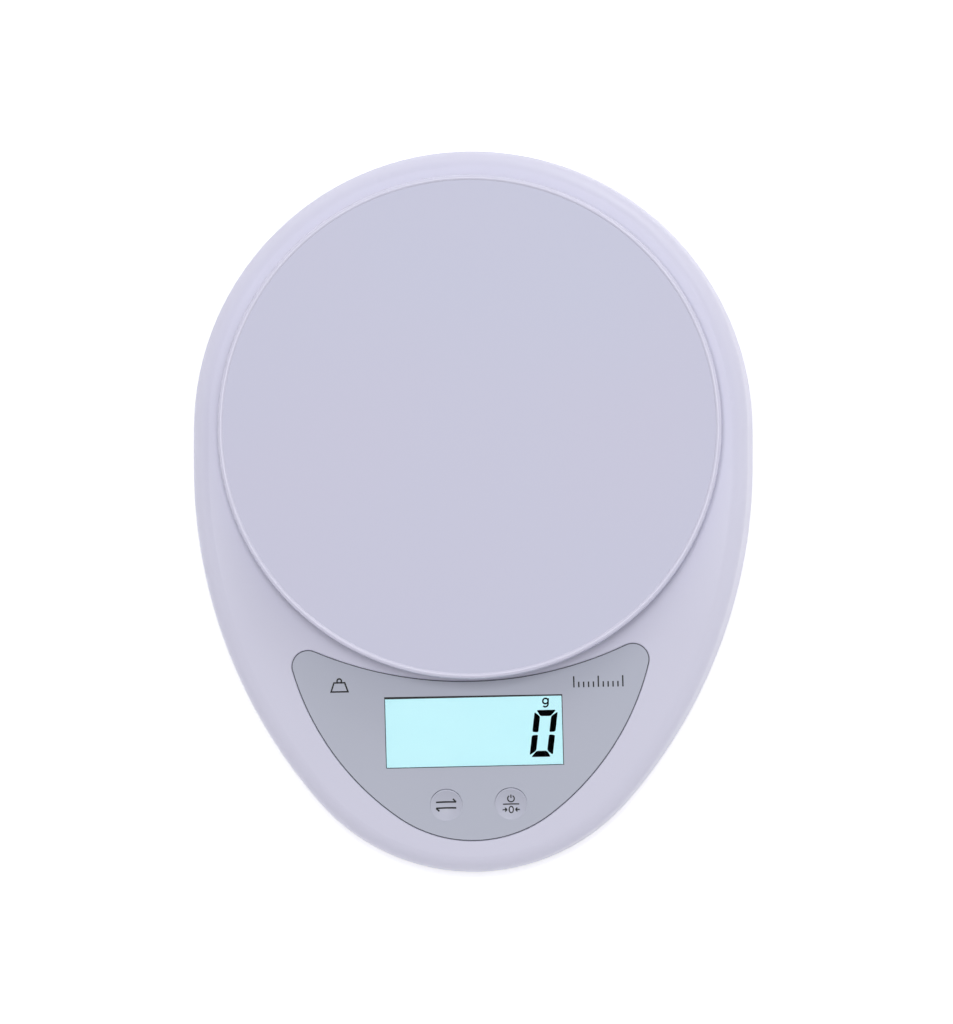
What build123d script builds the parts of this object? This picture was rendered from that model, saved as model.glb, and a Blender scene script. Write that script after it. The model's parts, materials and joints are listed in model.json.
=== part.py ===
from build123d import *
from math import asin, atan2, cos, degrees, pi, radians, sin, tan
import os

os.makedirs("parts", exist_ok=True)

# Digital kitchen scale, millimetres and degrees.
# +X is to the right, +Y to the back, +Z up. The origin is the centre of the
# scale's footprint, on the table that the rubber feet stand on.

# Body outline seen from above
platter_radius = 80.2
rim_width = 9.0
nose_margin = 8.9
flank_length = 11.6
nose_radius = 65.2

# Heights above the table
foot_height = 2.0
parting_height = 6.5
deck_height = 29.5
platter_gap = 1.3
platter_height = 6.2

# Moulded shells
wall = 2.2
case_draft = 3.0
seam_chamfer = 0.3
top_rounding = 5.0
rounding_share = 0.85
bottom_rounding = 3.4
inside_rounding = 1.0
tongue_thickness = 1.0
tongue_height = 1.3
joint_clearance = 0.1

# The deck runs level, bends, and slopes down to the nose
console_angle = 8.0
bend_start = 16.0
bend_end = 63.6

# Clearances between seated pieces, and of screws in their holes.
# A cutter runs past the face that it opens.
cut_past = 1.0
seat_gap = 0.05
thread_gap = 0.05
hole_gap = 0.2

# Proportions of every pan-head screw: crown, cross recess and point
head_crown = 0.45
cross_reach = 1.1
cross_width = 0.26
screw_point = 0.4

# Console, in its own frame: u to the right, v up the slope, w out of the deck.
# It sits a little turned on the body.
console_turn = 1.2
overlay_foot = 6.25
overlay_nose_radius = 41.3
overlay_side_radius = 86.8
overlay_side_turn = 36.3
overlay_top_radius = 121.6
overlay_top_gap = 0.2
overlay_corner = 5.4
overlay_gap = 0.2
overlay_thickness = 0.4
recess_depth = 0.5

# Display
window_u = 0.45
window_width = 56.5
window_height = 22.2
window_corner = 0.4
lens_margin = 1.8
lens_thickness = 1.0
lcd_side_margin = 2.75
lcd_end_margin = 3.0
lcd_plate = 1.3
lcd_ledge = 1.4
frame_face = 0.7
frame_wall = 1.2
frame_clearance = 0.1
frame_inset = 1.35
aperture_margin = 0.4
light_thickness = 2.0
light_inset = 2.2
led_length = 3.0
led_depth = 1.4
led_headroom = 0.2
led_bevel = 0.25
led_count = 3
led_pitch = 7.0
zebra_width = 1.8
zebra_corner = 0.3
zebra_inset = 2.6

# Circuit board, its posts and screws
board_thickness = 1.6
board_edge = 1.7
board_corner = 1.5
board_tongue_width = 34.0
board_tongue_edge = 3.4
post_radius = 2.4
post_gap = 0.5
post_edge = 0.4
post_inset = 5.0
board_screw_radius = 1.1
board_screw_length = 5.0
board_head_radius = 2.1
board_head_height = 1.4
chip_radius = 6.5
chip_height = 1.6
component_length = 2.0
component_width = 1.25
component_height = 0.7
component_pitch = 4.0
component_count = 8

# Push buttons and their tact switches
button_radius = 5.3
button_clearance = 0.15
button_gap = 1.6
unit_button_u = -8.9
tare_button_u = 11.7
button_dish = 1.6
button_edge = 0.35
button_flange = 1.1
button_flange_thickness = 0.8
button_stem = 0.2
button_travel = 0.35
switch_side = 6.0
switch_height = 3.5
switch_corner = 0.4
switch_leg = 0.5
plunger_radius = 1.7
plunger_depth = 0.6
plunger_clearance = 0.1

# Load cell, a bar across the body under the platter
beam_length = 80.0
beam_side = 12.7
beam_bottom = 9.0
beam_chamfer = 0.5
beam_hole_inset = 5.0
beam_hole_pitch = 15.0
beam_screw_radius = 2.0
gauge_hole_radius = 5.2
gauge_hole_offset = 6.5
gauge_slot = 4.0
gauge_length = 7.0
gauge_width = 5.0
gauge_thickness = 0.6
gauge_corner = 0.8
spacer_thickness = 2.0
spacer_length = 27.0
spacer_corner = 1.0
stop_gap = 0.65
stop_boss_radius = 4.6
stop_screw_bottom = 3.0
stop_slot_width = 0.8
stop_slot_depth = 1.0

# Screws of the load cell
beam_head_radius = 3.5
beam_head_height = 2.4
beam_head_recess = 3.0
base_screw_length = 14.0
platter_screw_length = 14.0

# Platter: a moulded cover snapped over a ribbed carrier
cover_thickness = 2.0
cover_wall = 2.4
cover_edge = 0.9
cover_inside_edge = 1.2
cover_lip = 0.7
carrier_gap = 3.8
carrier_plate = 1.6
carrier_drop = 3.2
carrier_rib = 1.6
carrier_rib_count = 12
carrier_ring_radius = 44.0
carrier_boss_width = 14.4
carrier_boss_seat = 3.8
carrier_boss_corner = 2.0
deck_opening_margin = 3.0
hook_count = 4
hook_inset = 13.0
hook_width = 6.0
hook_thickness = 1.6
hook_nose = 0.9
hook_nose_height = 1.2
hook_catch = 0.8
hook_clearance = 0.25

# Battery bay for two AAA cells side by side, behind the load cell
cell_radius = 5.15
cell_length = 44.3
cell_nub_radius = 1.9
cell_nub_length = 1.0
cell_rim = 0.6
cell_gap = 0.8
cell_lift = 0.3
bay_distance = 42.4
bay_wall = 1.8
bay_roof = 1.8
bay_roof_gap = 0.4
bay_ledge = 1.1
contact_thickness = 0.4
contact_side = 8.0
bridge_width = 4.0
contact_tail_width = 2.6
contact_tail_length = 3.2
spring_length = 3.6
spring_radius = 2.8
spring_tip_radius = 1.9
spring_wire = 0.3
spring_seat = 0.8
spring_turns = 3

# Battery door, hooked in at its front edge
door_thickness = 1.8
door_clearance = 0.2
door_corner = 0.8
door_tongue_x = 14.0
door_tongue_width = 5.0
door_tongue_reach = 1.8
door_tongue_thickness = 0.9
door_arm_depth = 1.3
door_grip_count = 3
door_grip_pitch = 2.4
door_grip_width = 1.0
door_grip_length = 16.0
door_grip_depth = 0.5

# Rubber feet
foot_radius = 6.0
foot_inset = 14.8
foot_angle = 36.5
front_foot_angle = 57.0
foot_recess = 1.2
foot_rounding = 0.8

# Screws that close the case from below
case_screw_inset = 14.0
case_screw_angle = 15.0
waist_screw_drop = 50.2
front_screw_inset = 10.7
front_screw_angle = 30.4
case_head_radius = 2.7
case_head_height = 1.8
case_head_recess = 2.4
case_screw_radius = 1.3
case_screw_headroom = 1.3
case_boss_wall = 1.6
case_web = 1.6
case_post_radius = 3.3
screw_recess_radius_gap = 0.4

# Wires inside the case
wire_diameter = 1.4
cable_diameter = 2.6
wire_floor_gap = 0.2
wire_rise = 5.0
arc_share = 0.45
lane_width = 3.0
cable_exit = 15.0
cable_rise = 6.5
pad_v = -3.5
red_pad_u = 9.0
black_pad_u = 14.0
cable_pad_u = -16.0

# Display, board and buttons down the console, from the platter's front edge
lcd_width = window_width + 2 * lcd_side_margin
lcd_height = window_height + 2 * lcd_end_margin
frame_half_width = lcd_width / 2 + frame_clearance + frame_wall
frame_half_height = lcd_height / 2 + frame_clearance + frame_wall
window_v = -frame_inset - frame_half_height
button_v = window_v - frame_half_height - button_gap - button_flange - button_radius
overlay_reach = button_radius + overlay_foot - button_v
console_length = overlay_reach + nose_margin
post_u = frame_half_width + post_gap + post_radius
board_width = 2 * (post_u + post_radius + post_edge)
board_height = 2 * (frame_half_height + board_edge)
post_v = board_height / 2 - post_inset
board_tongue_end = button_v - switch_side / 2 - board_tongue_edge

# Body outline and deck
half_width = platter_radius + rim_width
length = half_width + platter_radius + console_length
front = -length / 2
back = length / 2
platter_y = back - half_width
platter_front = platter_y - platter_radius
case_bottom = foot_height
floor_top = case_bottom + wall
platter_top = deck_height + platter_gap + platter_height
slope = radians(console_angle)
bend_radius = (bend_end - bend_start) / sin(slope)
bend_end_y = platter_y - bend_end
bend_end_z = deck_height - bend_radius * (1 - cos(slope))
flank_y = platter_y - flank_length
nose_y = front + nose_radius
side_reach = half_width**2 + (flank_y - nose_y) ** 2 - nose_radius**2
side_radius = side_reach / (2 * (half_width - nose_radius))
side_centre = half_width - side_radius

# Depths of the console's layers below the deck surface
overlay_bottom = -recess_depth + seat_gap
lens_top = -recess_depth
lens_bottom = lens_top - lens_thickness
frame_top = -wall - seat_gap
lcd_top = frame_top - frame_face - seat_gap
lcd_bottom = lcd_top - 2 * lcd_plate
light_top = lcd_bottom - seat_gap
light_bottom = light_top - light_thickness
board_top = light_bottom - seat_gap
board_bottom = board_top - board_thickness
switch_top = board_top + seat_gap + switch_height
flange_top = -wall - joint_clearance
flange_bottom = flange_top - button_flange_thickness
plunger_top = flange_bottom - button_stem - seat_gap

# Load cell and platter heights
beam_top = beam_bottom + beam_side
pad_top = beam_bottom - spacer_thickness - seat_gap
spacer_top = beam_top + seat_gap + spacer_thickness
beam_hole_outer = beam_length / 2 - beam_hole_inset
beam_hole_inner = beam_hole_outer - beam_hole_pitch
beam_hole_middle = (beam_hole_inner + beam_hole_outer) / 2
skirt_bottom = deck_height + platter_gap
cover_inside = platter_top - cover_thickness
carrier_top = cover_inside - carrier_drop + carrier_plate
carrier_bottom = carrier_top - carrier_plate
carrier_radius = platter_radius - cover_wall - carrier_gap
hook_radius = carrier_radius - hook_inset

# Battery bay
bay_y = platter_y + bay_distance
cell_y = cell_radius + cell_gap / 2
bay_half_width = cell_y + cell_radius + cell_gap / 2
bay_half_length = (cell_length + spring_length) / 2 + contact_thickness + seat_gap
door_top = case_bottom + door_thickness
cell_z = door_top + cell_lift + cell_radius
bay_ceiling = cell_z + cell_radius + bay_roof_gap
recess_half_width = bay_half_width + bay_ledge
recess_half_length = bay_half_length + bay_ledge
hinge_y = bay_y - recess_half_width

# Screw bosses
case_web_bottom = case_bottom + case_head_recess
case_boss_top = case_web_bottom + case_web


def deck_z(y):
    # Height of the deck's outer surface on the sloping stretch
    return bend_end_z + (y - bend_end_y) * tan(slope)


def nose_place(inset, angle):
    # A place inside the nose arc, angle degrees round from the tip
    radius = nose_radius - inset
    return radius * sin(radians(angle)), nose_y - radius * cos(radians(angle))


# The front screws end under the low end of the deck, and all are as long
front_screw_x, front_screw_y = nose_place(front_screw_inset, front_screw_angle)
case_screw_length = deck_z(front_screw_y) - wall - case_screw_headroom - case_web_bottom

# Roundings are limited by the side wall at the nose
nose_side = deck_z(front) - parting_height
rim_rounding = min(top_rounding, rounding_share * nose_side)
inside_rim_rounding = min(rim_rounding - wall, rounding_share * (nose_side - wall))

# The console frame stands on the slope at the platter's front edge
console_base = Plane(
    origin=(0, platter_front, deck_z(platter_front)),
    x_dir=(1, 0, 0),
    z_dir=(0, -sin(slope), cos(slope)),
).location
console = console_base * Rot(0, 0, console_turn)


def block(x0, x1, y0, y1, z0, z1):
    # A box between two corners
    return Pos((x0 + x1) / 2, (y0 + y1) / 2, (z0 + z1) / 2) * Box(x1 - x0, y1 - y0, z1 - z0)


def rod(x, y, z0, z1, radius):
    # An upright cylinder between two heights
    return Pos(x, y, (z0 + z1) / 2) * Cylinder(radius, z1 - z0)


def slab(u, v, width, height, corner, w0, w1):
    # A rounded rectangle between two depths
    outline = RectangleRounded(width, height, corner)
    return extrude(Pos(u, v, w0) * outline, amount=w1 - w0)


def pan_screw(head_radius, head_height, shaft_radius, shaft_length):
    # Head below z = 0 with a cross recess, shaft upwards with a pointed end
    head = rod(0, 0, -head_height, 0, head_radius)
    head = fillet(head.edges().group_by(Axis.Z)[0], head_height * head_crown)
    arm = head_radius * cross_reach
    slot = head_radius * cross_width
    cross = Box(arm, slot, head_height) + Box(slot, arm, head_height)
    shaft = rod(0, 0, 0, shaft_length, shaft_radius)
    shaft = chamfer(shaft.edges().group_by(Axis.Z)[-1], shaft_radius * screw_point)
    return head + shaft - Pos(0, 0, -head_height) * cross


def body_outline(inset):
    # Round back about the platter axis, straight flanks, long side arcs and a round nose
    side = half_width - inset
    turn = degrees(atan2(nose_y - flank_y, -side_centre))
    edges = [
        CenterArc((0, platter_y), side, 0, 180),
        Line((side, platter_y), (side, flank_y)),
        Line((-side, platter_y), (-side, flank_y)),
        CenterArc((side_centre, flank_y), side_radius - inset, 0, turn),
        CenterArc((-side_centre, flank_y), side_radius - inset, 180, -turn),
        CenterArc((0, nose_y), nose_radius - inset, 180 - turn, 180 + 2 * turn),
    ]
    return make_face(edges)


def under_deck(depth):
    # Everything under the deck surface, set down by depth
    margin = 5 * cut_past
    start_y = platter_y - bend_start
    level = deck_height - depth
    radius = bend_radius - depth
    centre_z = deck_height - bend_radius
    end = (start_y - radius * sin(slope), centre_z + radius * cos(slope))
    tip = (front - margin, end[1] - (end[0] - front + margin) * tan(slope))
    base = parting_height - cut_past
    edges = [
        Polyline([tip, (tip[0], base), (back + margin, base), (back + margin, level), (start_y, level)]),
        CenterArc((start_y, centre_z), radius, 90, console_angle),
        Line(end, tip),
    ]
    return extrude(Plane.YZ * make_face(edges), amount=half_width + margin, both=True)


def case_block(inset, rounding):
    # The upper case as a solid block: drafted sides, deck on top, rounded rim
    prism = extrude(
        Pos(0, 0, parting_height) * body_outline(inset), amount=deck_height, taper=case_draft
    )
    solid = prism & under_deck(inset)
    low = parting_height + joint_clearance
    rim = solid.edges().filter_by(lambda edge: edge.bounding_box().min.Z > low)
    return fillet(rim.filter_by(Axis.X, reverse=True), rounding)


def console_outline(inset):
    # Nose arc and side arcs, with a hollow top edge that follows the platter
    nose_v = -overlay_reach + overlay_nose_radius
    side_shift = overlay_side_radius - overlay_nose_radius
    turn = radians(overlay_side_turn)
    side_u = -side_shift * sin(turn)
    side_v = nose_v + side_shift * cos(turn)
    side = overlay_side_radius - inset
    sweep = 90 - overlay_side_turn
    edges = [
        CenterArc((0, nose_v), overlay_nose_radius - inset, -90 - overlay_side_turn, 2 * overlay_side_turn),
        CenterArc((side_u, side_v), side, -sweep, sweep),
        CenterArc((-side_u, side_v), side, 180, sweep),
        Line((side_u + side, side_v), (-side_u - side, side_v)),
    ]
    top_v = overlay_top_radius - overlay_top_gap
    hollow = Pos(0, top_v) * Circle(overlay_top_radius + inset)
    face = make_face(edges) - hollow
    face = face.faces().sort_by(Axis.Y)[0]
    lobes = face.vertices().sort_by(Axis.Y)[-2:]
    return fillet(lobes, overlay_corner - inset)


def case_screw_places():
    # One at the back, two behind each flank, two at the waist and two at the nose
    radius = half_width - case_screw_inset
    rear_x = radius * cos(radians(case_screw_angle))
    rear_y = platter_y + radius * sin(radians(case_screw_angle))
    waist_turn = asin(waist_screw_drop / (side_radius - case_screw_inset))
    waist_x = side_centre + (side_radius - case_screw_inset) * cos(waist_turn)
    places = [(0, platter_y + radius)]
    for side in (-1, 1):
        places.append((side * rear_x, rear_y))
        places.append((side * waist_x, flank_y - waist_screw_drop))
        places.append((side * front_screw_x, front_screw_y))
    return places


def foot_places():
    radius = half_width - foot_inset
    rear_x = radius * cos(radians(foot_angle))
    rear_y = platter_y + radius * sin(radians(foot_angle))
    front_x, front_y = nose_place(foot_inset, front_foot_angle)
    places = []
    for side in (-1, 1):
        places.append((side * rear_x, rear_y))
        places.append((side * front_x, front_y))
    return places


def board_post_places():
    places = []
    for side in (-1, 1):
        for end in (-1, 1):
            places.append((window_u + side * post_u, window_v + end * post_v))
    return places


# Lower case: tray, tongue, load cell pad, stop boss, battery bay and screw bosses
def make_lower_case():
    tray = extrude(Pos(0, 0, case_bottom) * body_outline(0), amount=parting_height - case_bottom)
    tray = chamfer(tray.edges().group_by(Axis.Z)[-1], seam_chamfer)
    rounding = min(bottom_rounding, 0.9 * (parting_height - case_bottom))
    tray = fillet(tray.edges().group_by(Axis.Z)[0], rounding)
    hollow = extrude(Pos(0, 0, floor_top) * body_outline(wall), amount=deck_height)
    hollow = fillet(hollow.edges().group_by(Axis.Z)[0], max(rounding - wall, inside_rounding))
    tongue_low = case_bottom + rounding
    tongue_span = parting_height + tongue_height - tongue_low
    tongue = extrude(Pos(0, 0, tongue_low) * body_outline(wall - tongue_thickness), amount=tongue_span)
    case = tray + tongue - hollow

    pad_end = -beam_length / 2 + spacer_length
    beam_half = beam_side / 2
    case += block(
        -beam_length / 2, pad_end, platter_y - beam_half, platter_y + beam_half, case_bottom, pad_top
    )
    case += rod(beam_hole_middle, platter_y, case_bottom, pad_top, stop_boss_radius)
    outer_x = bay_half_length + bay_wall
    outer_y = bay_half_width + bay_wall
    case += block(
        -outer_x, outer_x, bay_y - outer_y, bay_y + outer_y, case_bottom, bay_ceiling + bay_roof
    )
    recess_radius = case_head_radius + screw_recess_radius_gap
    for x, y in case_screw_places():
        case += rod(x, y, case_bottom, case_boss_top, recess_radius + case_boss_wall)

    for x, y in case_screw_places():
        case -= rod(x, y, case_bottom - cut_past, case_web_bottom, recess_radius)
        case -= rod(x, y, case_bottom, case_boss_top + cut_past, case_screw_radius + hole_gap)
    for x, y in foot_places():
        foot_hole = foot_radius + joint_clearance
        case -= rod(x, y, case_bottom - cut_past, case_bottom + foot_recess, foot_hole)
    below = case_bottom - cut_past
    above = pad_top + cut_past
    for x in (-beam_hole_inner, -beam_hole_outer):
        case -= rod(x, platter_y, below, case_bottom + beam_head_recess, beam_head_radius + hole_gap)
        case -= rod(x, platter_y, case_bottom, above, beam_screw_radius + hole_gap)
    case -= rod(beam_hole_middle, platter_y, below, above, beam_screw_radius + thread_gap)
    return case - bay_cutters()


def bay_cutters():
    # The hollow for the cells, the recess for the door, its tongue slots and the tail slots
    cells = block(
        -bay_half_length, bay_half_length, bay_y - bay_half_width, bay_y + bay_half_width,
        case_bottom - cut_past, bay_ceiling,
    )
    recess = block(
        -recess_half_length, recess_half_length, hinge_y, bay_y + recess_half_width,
        case_bottom - cut_past, door_top + seat_gap,
    )
    cutters = cells + recess
    slot_half = door_tongue_width / 2 + door_clearance
    slot_top = floor_top + door_tongue_thickness + door_tongue_reach
    inside = bay_y - bay_half_width
    for side in (-1, 1):
        x = side * door_tongue_x
        cutters += block(x - slot_half, x + slot_half, hinge_y - bay_wall, inside, floor_top, slot_top)
        cutters += block(x - slot_half, x + slot_half, hinge_y, inside, door_top, slot_top)
    for side in (-1, 1):
        y = bay_y + side * cell_y
        tail_half = contact_tail_width / 2 + joint_clearance
        low = tail_z() - joint_clearance
        high = tail_z() + contact_thickness + joint_clearance
        near = bay_half_length - cut_past
        far = bay_half_length + bay_wall + cut_past
        cutters += block(near, far, y - tail_half, y + tail_half, low, high)
    return cutters


def tail_z():
    # Underside of the solder tails, at the top of the contact plates
    return cell_z + contact_side / 2 - contact_thickness


# Upper case: shell with a rebate for the tongue, posts, openings and the console recess
def make_upper_case():
    outer = case_block(0, rim_rounding)
    outer = chamfer(outer.edges().group_by(Axis.Z)[0], seam_chamfer)
    case = outer - case_block(wall, inside_rim_rounding)
    rebate_inset = wall - tongue_thickness - joint_clearance
    rebate = extrude(
        Pos(0, 0, parting_height - cut_past) * body_outline(rebate_inset),
        amount=cut_past + tongue_height + joint_clearance,
    )
    case -= rebate
    for x, y in case_screw_places():
        post = rod(x, y, case_boss_top + seat_gap, deck_height, case_post_radius)
        case += post & reach_down(outer)
    pilot_top = case_web_bottom + case_screw_length + cut_past
    for x, y in case_screw_places():
        case -= rod(x, y, case_bottom, pilot_top, case_screw_radius + thread_gap)

    posts = Part()
    for u, v in board_post_places():
        posts += rod(u, v, board_top + seat_gap, -wall / 2, post_radius)
    case += console * posts
    for u, v in board_post_places():
        top = board_bottom + board_screw_length + cut_past
        case -= console * rod(u, v, board_top, top, board_screw_radius + thread_gap)
    case -= console * console_cutters()

    opening = RectangleRounded(
        spacer_length + 2 * deck_opening_margin, carrier_boss_width + 2 * deck_opening_margin,
        deck_opening_margin,
    )
    return case - extrude(Pos(beam_hole_middle, platter_y, beam_top) * opening, amount=deck_height)


def reach_down(outer):
    # The block with room below it, so that posts can reach down into the lower case
    room = parting_height - case_bottom + cut_past
    return outer + extrude(Pos(0, 0, case_bottom) * body_outline(2 * wall), amount=room)


def console_cutters():
    recess = extrude(Pos(0, 0, -recess_depth) * console_outline(0), amount=recess_depth + cut_past)
    pocket = slab(
        window_u, window_v,
        window_width + 2 * (lens_margin + joint_clearance),
        window_height + 2 * (lens_margin + joint_clearance),
        window_corner + lens_margin, lens_bottom - seat_gap, 0,
    )
    return recess + pocket + console_holes()


def console_holes():
    # The window and the two button holes, right through overlay and shell
    low = -wall - cut_past
    holes = slab(window_u, window_v, window_width, window_height, window_corner, low, cut_past)
    for u in (unit_button_u, tare_button_u):
        holes += rod(u, button_v, low, cut_past, button_radius + button_clearance)
    return holes


def make_overlay():
    sheet = extrude(Pos(0, 0, overlay_bottom) * console_outline(overlay_gap), amount=overlay_thickness)
    return console * (sheet - console_holes())


def make_lens():
    width = window_width + 2 * lens_margin
    height = window_height + 2 * lens_margin
    return console * slab(
        window_u, window_v, width, height, window_corner + lens_margin, lens_bottom, lens_top
    )


def make_lcd_frame():
    frame = slab(
        window_u, window_v, 2 * frame_half_width, 2 * frame_half_height,
        frame_wall, board_top + seat_gap, frame_top,
    )
    inner_u = frame_half_width - frame_wall
    inner_v = frame_half_height - frame_wall
    frame -= block(
        window_u - inner_u, window_u + inner_u, window_v - inner_v, window_v + inner_v,
        board_top - cut_past, frame_top - frame_face,
    )
    frame -= slab(
        window_u, window_v, window_width + 2 * aperture_margin, window_height + 2 * aperture_margin,
        window_corner, lcd_top, 0,
    )
    return console * frame


def make_lcd_glass():
    # Two bonded plates; the rear one is taller, and its ledges carry the contacts
    middle = lcd_bottom + lcd_plate
    rear = slab(window_u, window_v, lcd_width, lcd_height, window_corner, lcd_bottom, middle)
    front_plate = slab(
        window_u, window_v, lcd_width, lcd_height - 2 * lcd_ledge, window_corner, middle, lcd_top
    )
    return console * (rear + front_plate)


def light_width():
    return lcd_width - 2 * (led_depth + light_inset)


def make_backlight():
    height = lcd_height - 2 * (zebra_inset + zebra_width / 2)
    return console * slab(
        window_u, window_v, light_width(), height - 2 * seat_gap, window_corner, light_bottom, light_top
    )


def make_leds():
    leds = []
    u = window_u + light_width() / 2 + seat_gap + led_depth / 2
    low = board_top + seat_gap
    led_height = light_thickness - led_headroom
    for index in range(led_count):
        v = window_v + (index - (led_count - 1) / 2) * led_pitch
        led = Pos(u, v, low + led_height / 2) * Box(led_depth, led_length, led_height)
        leds.append(console * chamfer(led.edges().group_by(Axis.X)[0], led_bevel))
    return Compound(leds)


def make_zebras():
    strips = []
    for side in (-1, 1):
        v = window_v + side * (lcd_height / 2 - zebra_inset / 2)
        strips.append(
            console * slab(
                window_u, v, lcd_width - 2 * zebra_inset, zebra_width, zebra_corner,
                board_top + seat_gap, lcd_bottom - seat_gap,
            )
        )
    return Compound(strips)


def make_board():
    middle_u = (unit_button_u + tare_button_u) / 2
    outline = Pos(window_u, window_v) * Rectangle(board_width, board_height)
    tongue_height_v = window_v - board_tongue_end
    outline += Pos(middle_u, board_tongue_end + tongue_height_v / 2) * Rectangle(
        board_tongue_width, tongue_height_v
    )
    outline = fillet(outline.vertices(), board_corner)
    board = extrude(Pos(0, 0, board_bottom) * outline, amount=board_thickness)
    for u, v in board_post_places():
        board -= rod(u, v, board_bottom - cut_past, board_top + cut_past, board_screw_radius + hole_gap)
    return console * board


def make_board_screws():
    screw = pan_screw(board_head_radius, board_head_height, board_screw_radius, board_screw_length)
    seat = board_bottom - seat_gap
    return Compound([console * Pos(u, v, seat) * screw for u, v in board_post_places()])


def make_chip():
    # A drop of black resin over the bonded chip, on the board's underside
    sphere_radius = (chip_radius**2 + chip_height**2) / (2 * chip_height)
    centre = board_bottom - seat_gap - chip_height + sphere_radius
    ball = Pos(0, 0, centre) * Sphere(sphere_radius)
    low = board_bottom - seat_gap - chip_height
    keep = rod(0, 0, low - cut_past, board_bottom - seat_gap, chip_radius + cut_past)
    return console * Pos(window_u - post_u / 2, window_v, 0) * (ball & keep)


def make_components():
    # Chip resistors and capacitors in two rows on the board's underside
    chips = []
    middle = board_bottom - seat_gap - component_height / 2
    for row in (-1, 1):
        for index in range(component_count // 2):
            u = window_u + post_u / 4 + index * component_pitch
            v = window_v + row * component_pitch
            chip = Box(component_width, component_length, component_height)
            chips.append(console * Pos(u, v, middle) * chip)
    return Compound(chips)


# Tact switch bodies stand on the board, and their plungers move with the caps
def make_switch_body(u):
    low = board_top + seat_gap
    body = slab(u, button_v, switch_side, switch_side, switch_corner, low, switch_top)
    depth = switch_top - plunger_depth - button_travel - plunger_clearance
    body -= rod(u, button_v, depth, switch_top + cut_past, plunger_radius + plunger_clearance)
    # A row of legs runs along two sides, on the board
    half_row = switch_side / 2 - 2 * switch_corner
    reach = switch_side / 2 + switch_leg
    body += block(u - reach, u + reach, button_v - half_row, button_v + half_row, low, low + switch_leg)
    return console * body


def make_plunger(u):
    return console * rod(u, button_v, switch_top - plunger_depth, plunger_top, plunger_radius)


def make_button_cap(u):
    # Dished top, flange under the shell and a stem on the plunger
    top = overlay_bottom + overlay_thickness
    cap = rod(u, button_v, flange_bottom, top, button_radius)
    cap = fillet(cap.edges().group_by(Axis.Z)[-1], button_edge)
    dish_rim = button_radius - button_edge
    dish_radius = (dish_rim**2 + button_dish**2) / (2 * button_dish)
    cap -= Pos(u, button_v, top - button_dish + dish_radius) * Sphere(dish_radius)
    cap += rod(u, button_v, flange_bottom, flange_top, button_radius + button_flange)
    cap += rod(u, button_v, plunger_top + seat_gap, flange_bottom, plunger_radius)
    return console * cap


# Load cell: aluminium bar with a double-hole cutout and two screw holes at each end
def make_load_cell():
    half = beam_side / 2
    bar = Box(beam_length, beam_side, beam_side)
    bar = chamfer(bar.edges().filter_by(Axis.X), beam_chamfer)
    through = beam_side + cut_past
    for x in (-beam_hole_outer, -beam_hole_inner, beam_hole_inner, beam_hole_outer):
        bar -= Pos(x, 0, 0) * Cylinder(beam_screw_radius + thread_gap, through)
    across = Rot(90, 0, 0) * Cylinder(gauge_hole_radius, through)
    bar -= Pos(-gauge_hole_offset, 0, 0) * across
    bar -= Pos(gauge_hole_offset, 0, 0) * across
    bar -= Box(2 * gauge_hole_offset, through, gauge_slot)
    return Pos(0, platter_y, beam_bottom + half) * bar


def make_gauges():
    # Foil gauges under a white coating, above and below both thin sections
    pads = []
    for x in (-gauge_hole_offset, gauge_hole_offset):
        for low in (beam_top + seat_gap, beam_bottom - seat_gap - gauge_thickness):
            high = low + gauge_thickness
            pads.append(slab(x, platter_y, gauge_length, gauge_width, gauge_corner, low, high))
    return Compound(pads)


def make_spacer(side, bottom):
    # side is -1 at the fixed end and 1 at the free end
    top = bottom + spacer_thickness
    middle = side * beam_hole_middle
    plate = slab(middle, platter_y, spacer_length, beam_side, spacer_corner, bottom, top)
    for x in (side * beam_hole_inner, side * beam_hole_outer):
        plate -= rod(x, platter_y, bottom - cut_past, top + cut_past, beam_screw_radius + hole_gap)
    return plate


def make_base_screws():
    seat = case_bottom + beam_head_recess - seat_gap
    screw = pan_screw(beam_head_radius, beam_head_height, beam_screw_radius, base_screw_length)
    return Compound([Pos(-x, platter_y, seat) * screw for x in (beam_hole_inner, beam_hole_outer)])


def make_stop_screw():
    # Slotted set screw that the bar comes down on when the scale is overloaded
    top = beam_bottom - stop_gap
    screw = rod(beam_hole_middle, platter_y, stop_screw_bottom, top, beam_screw_radius)
    screw = chamfer(screw.edges().group_by(Axis.Z)[-1], beam_screw_radius * screw_point / 2)
    slot = Box(2 * beam_screw_radius, stop_slot_width, 2 * stop_slot_depth)
    return screw - Pos(beam_hole_middle, platter_y, stop_screw_bottom) * slot


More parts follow.
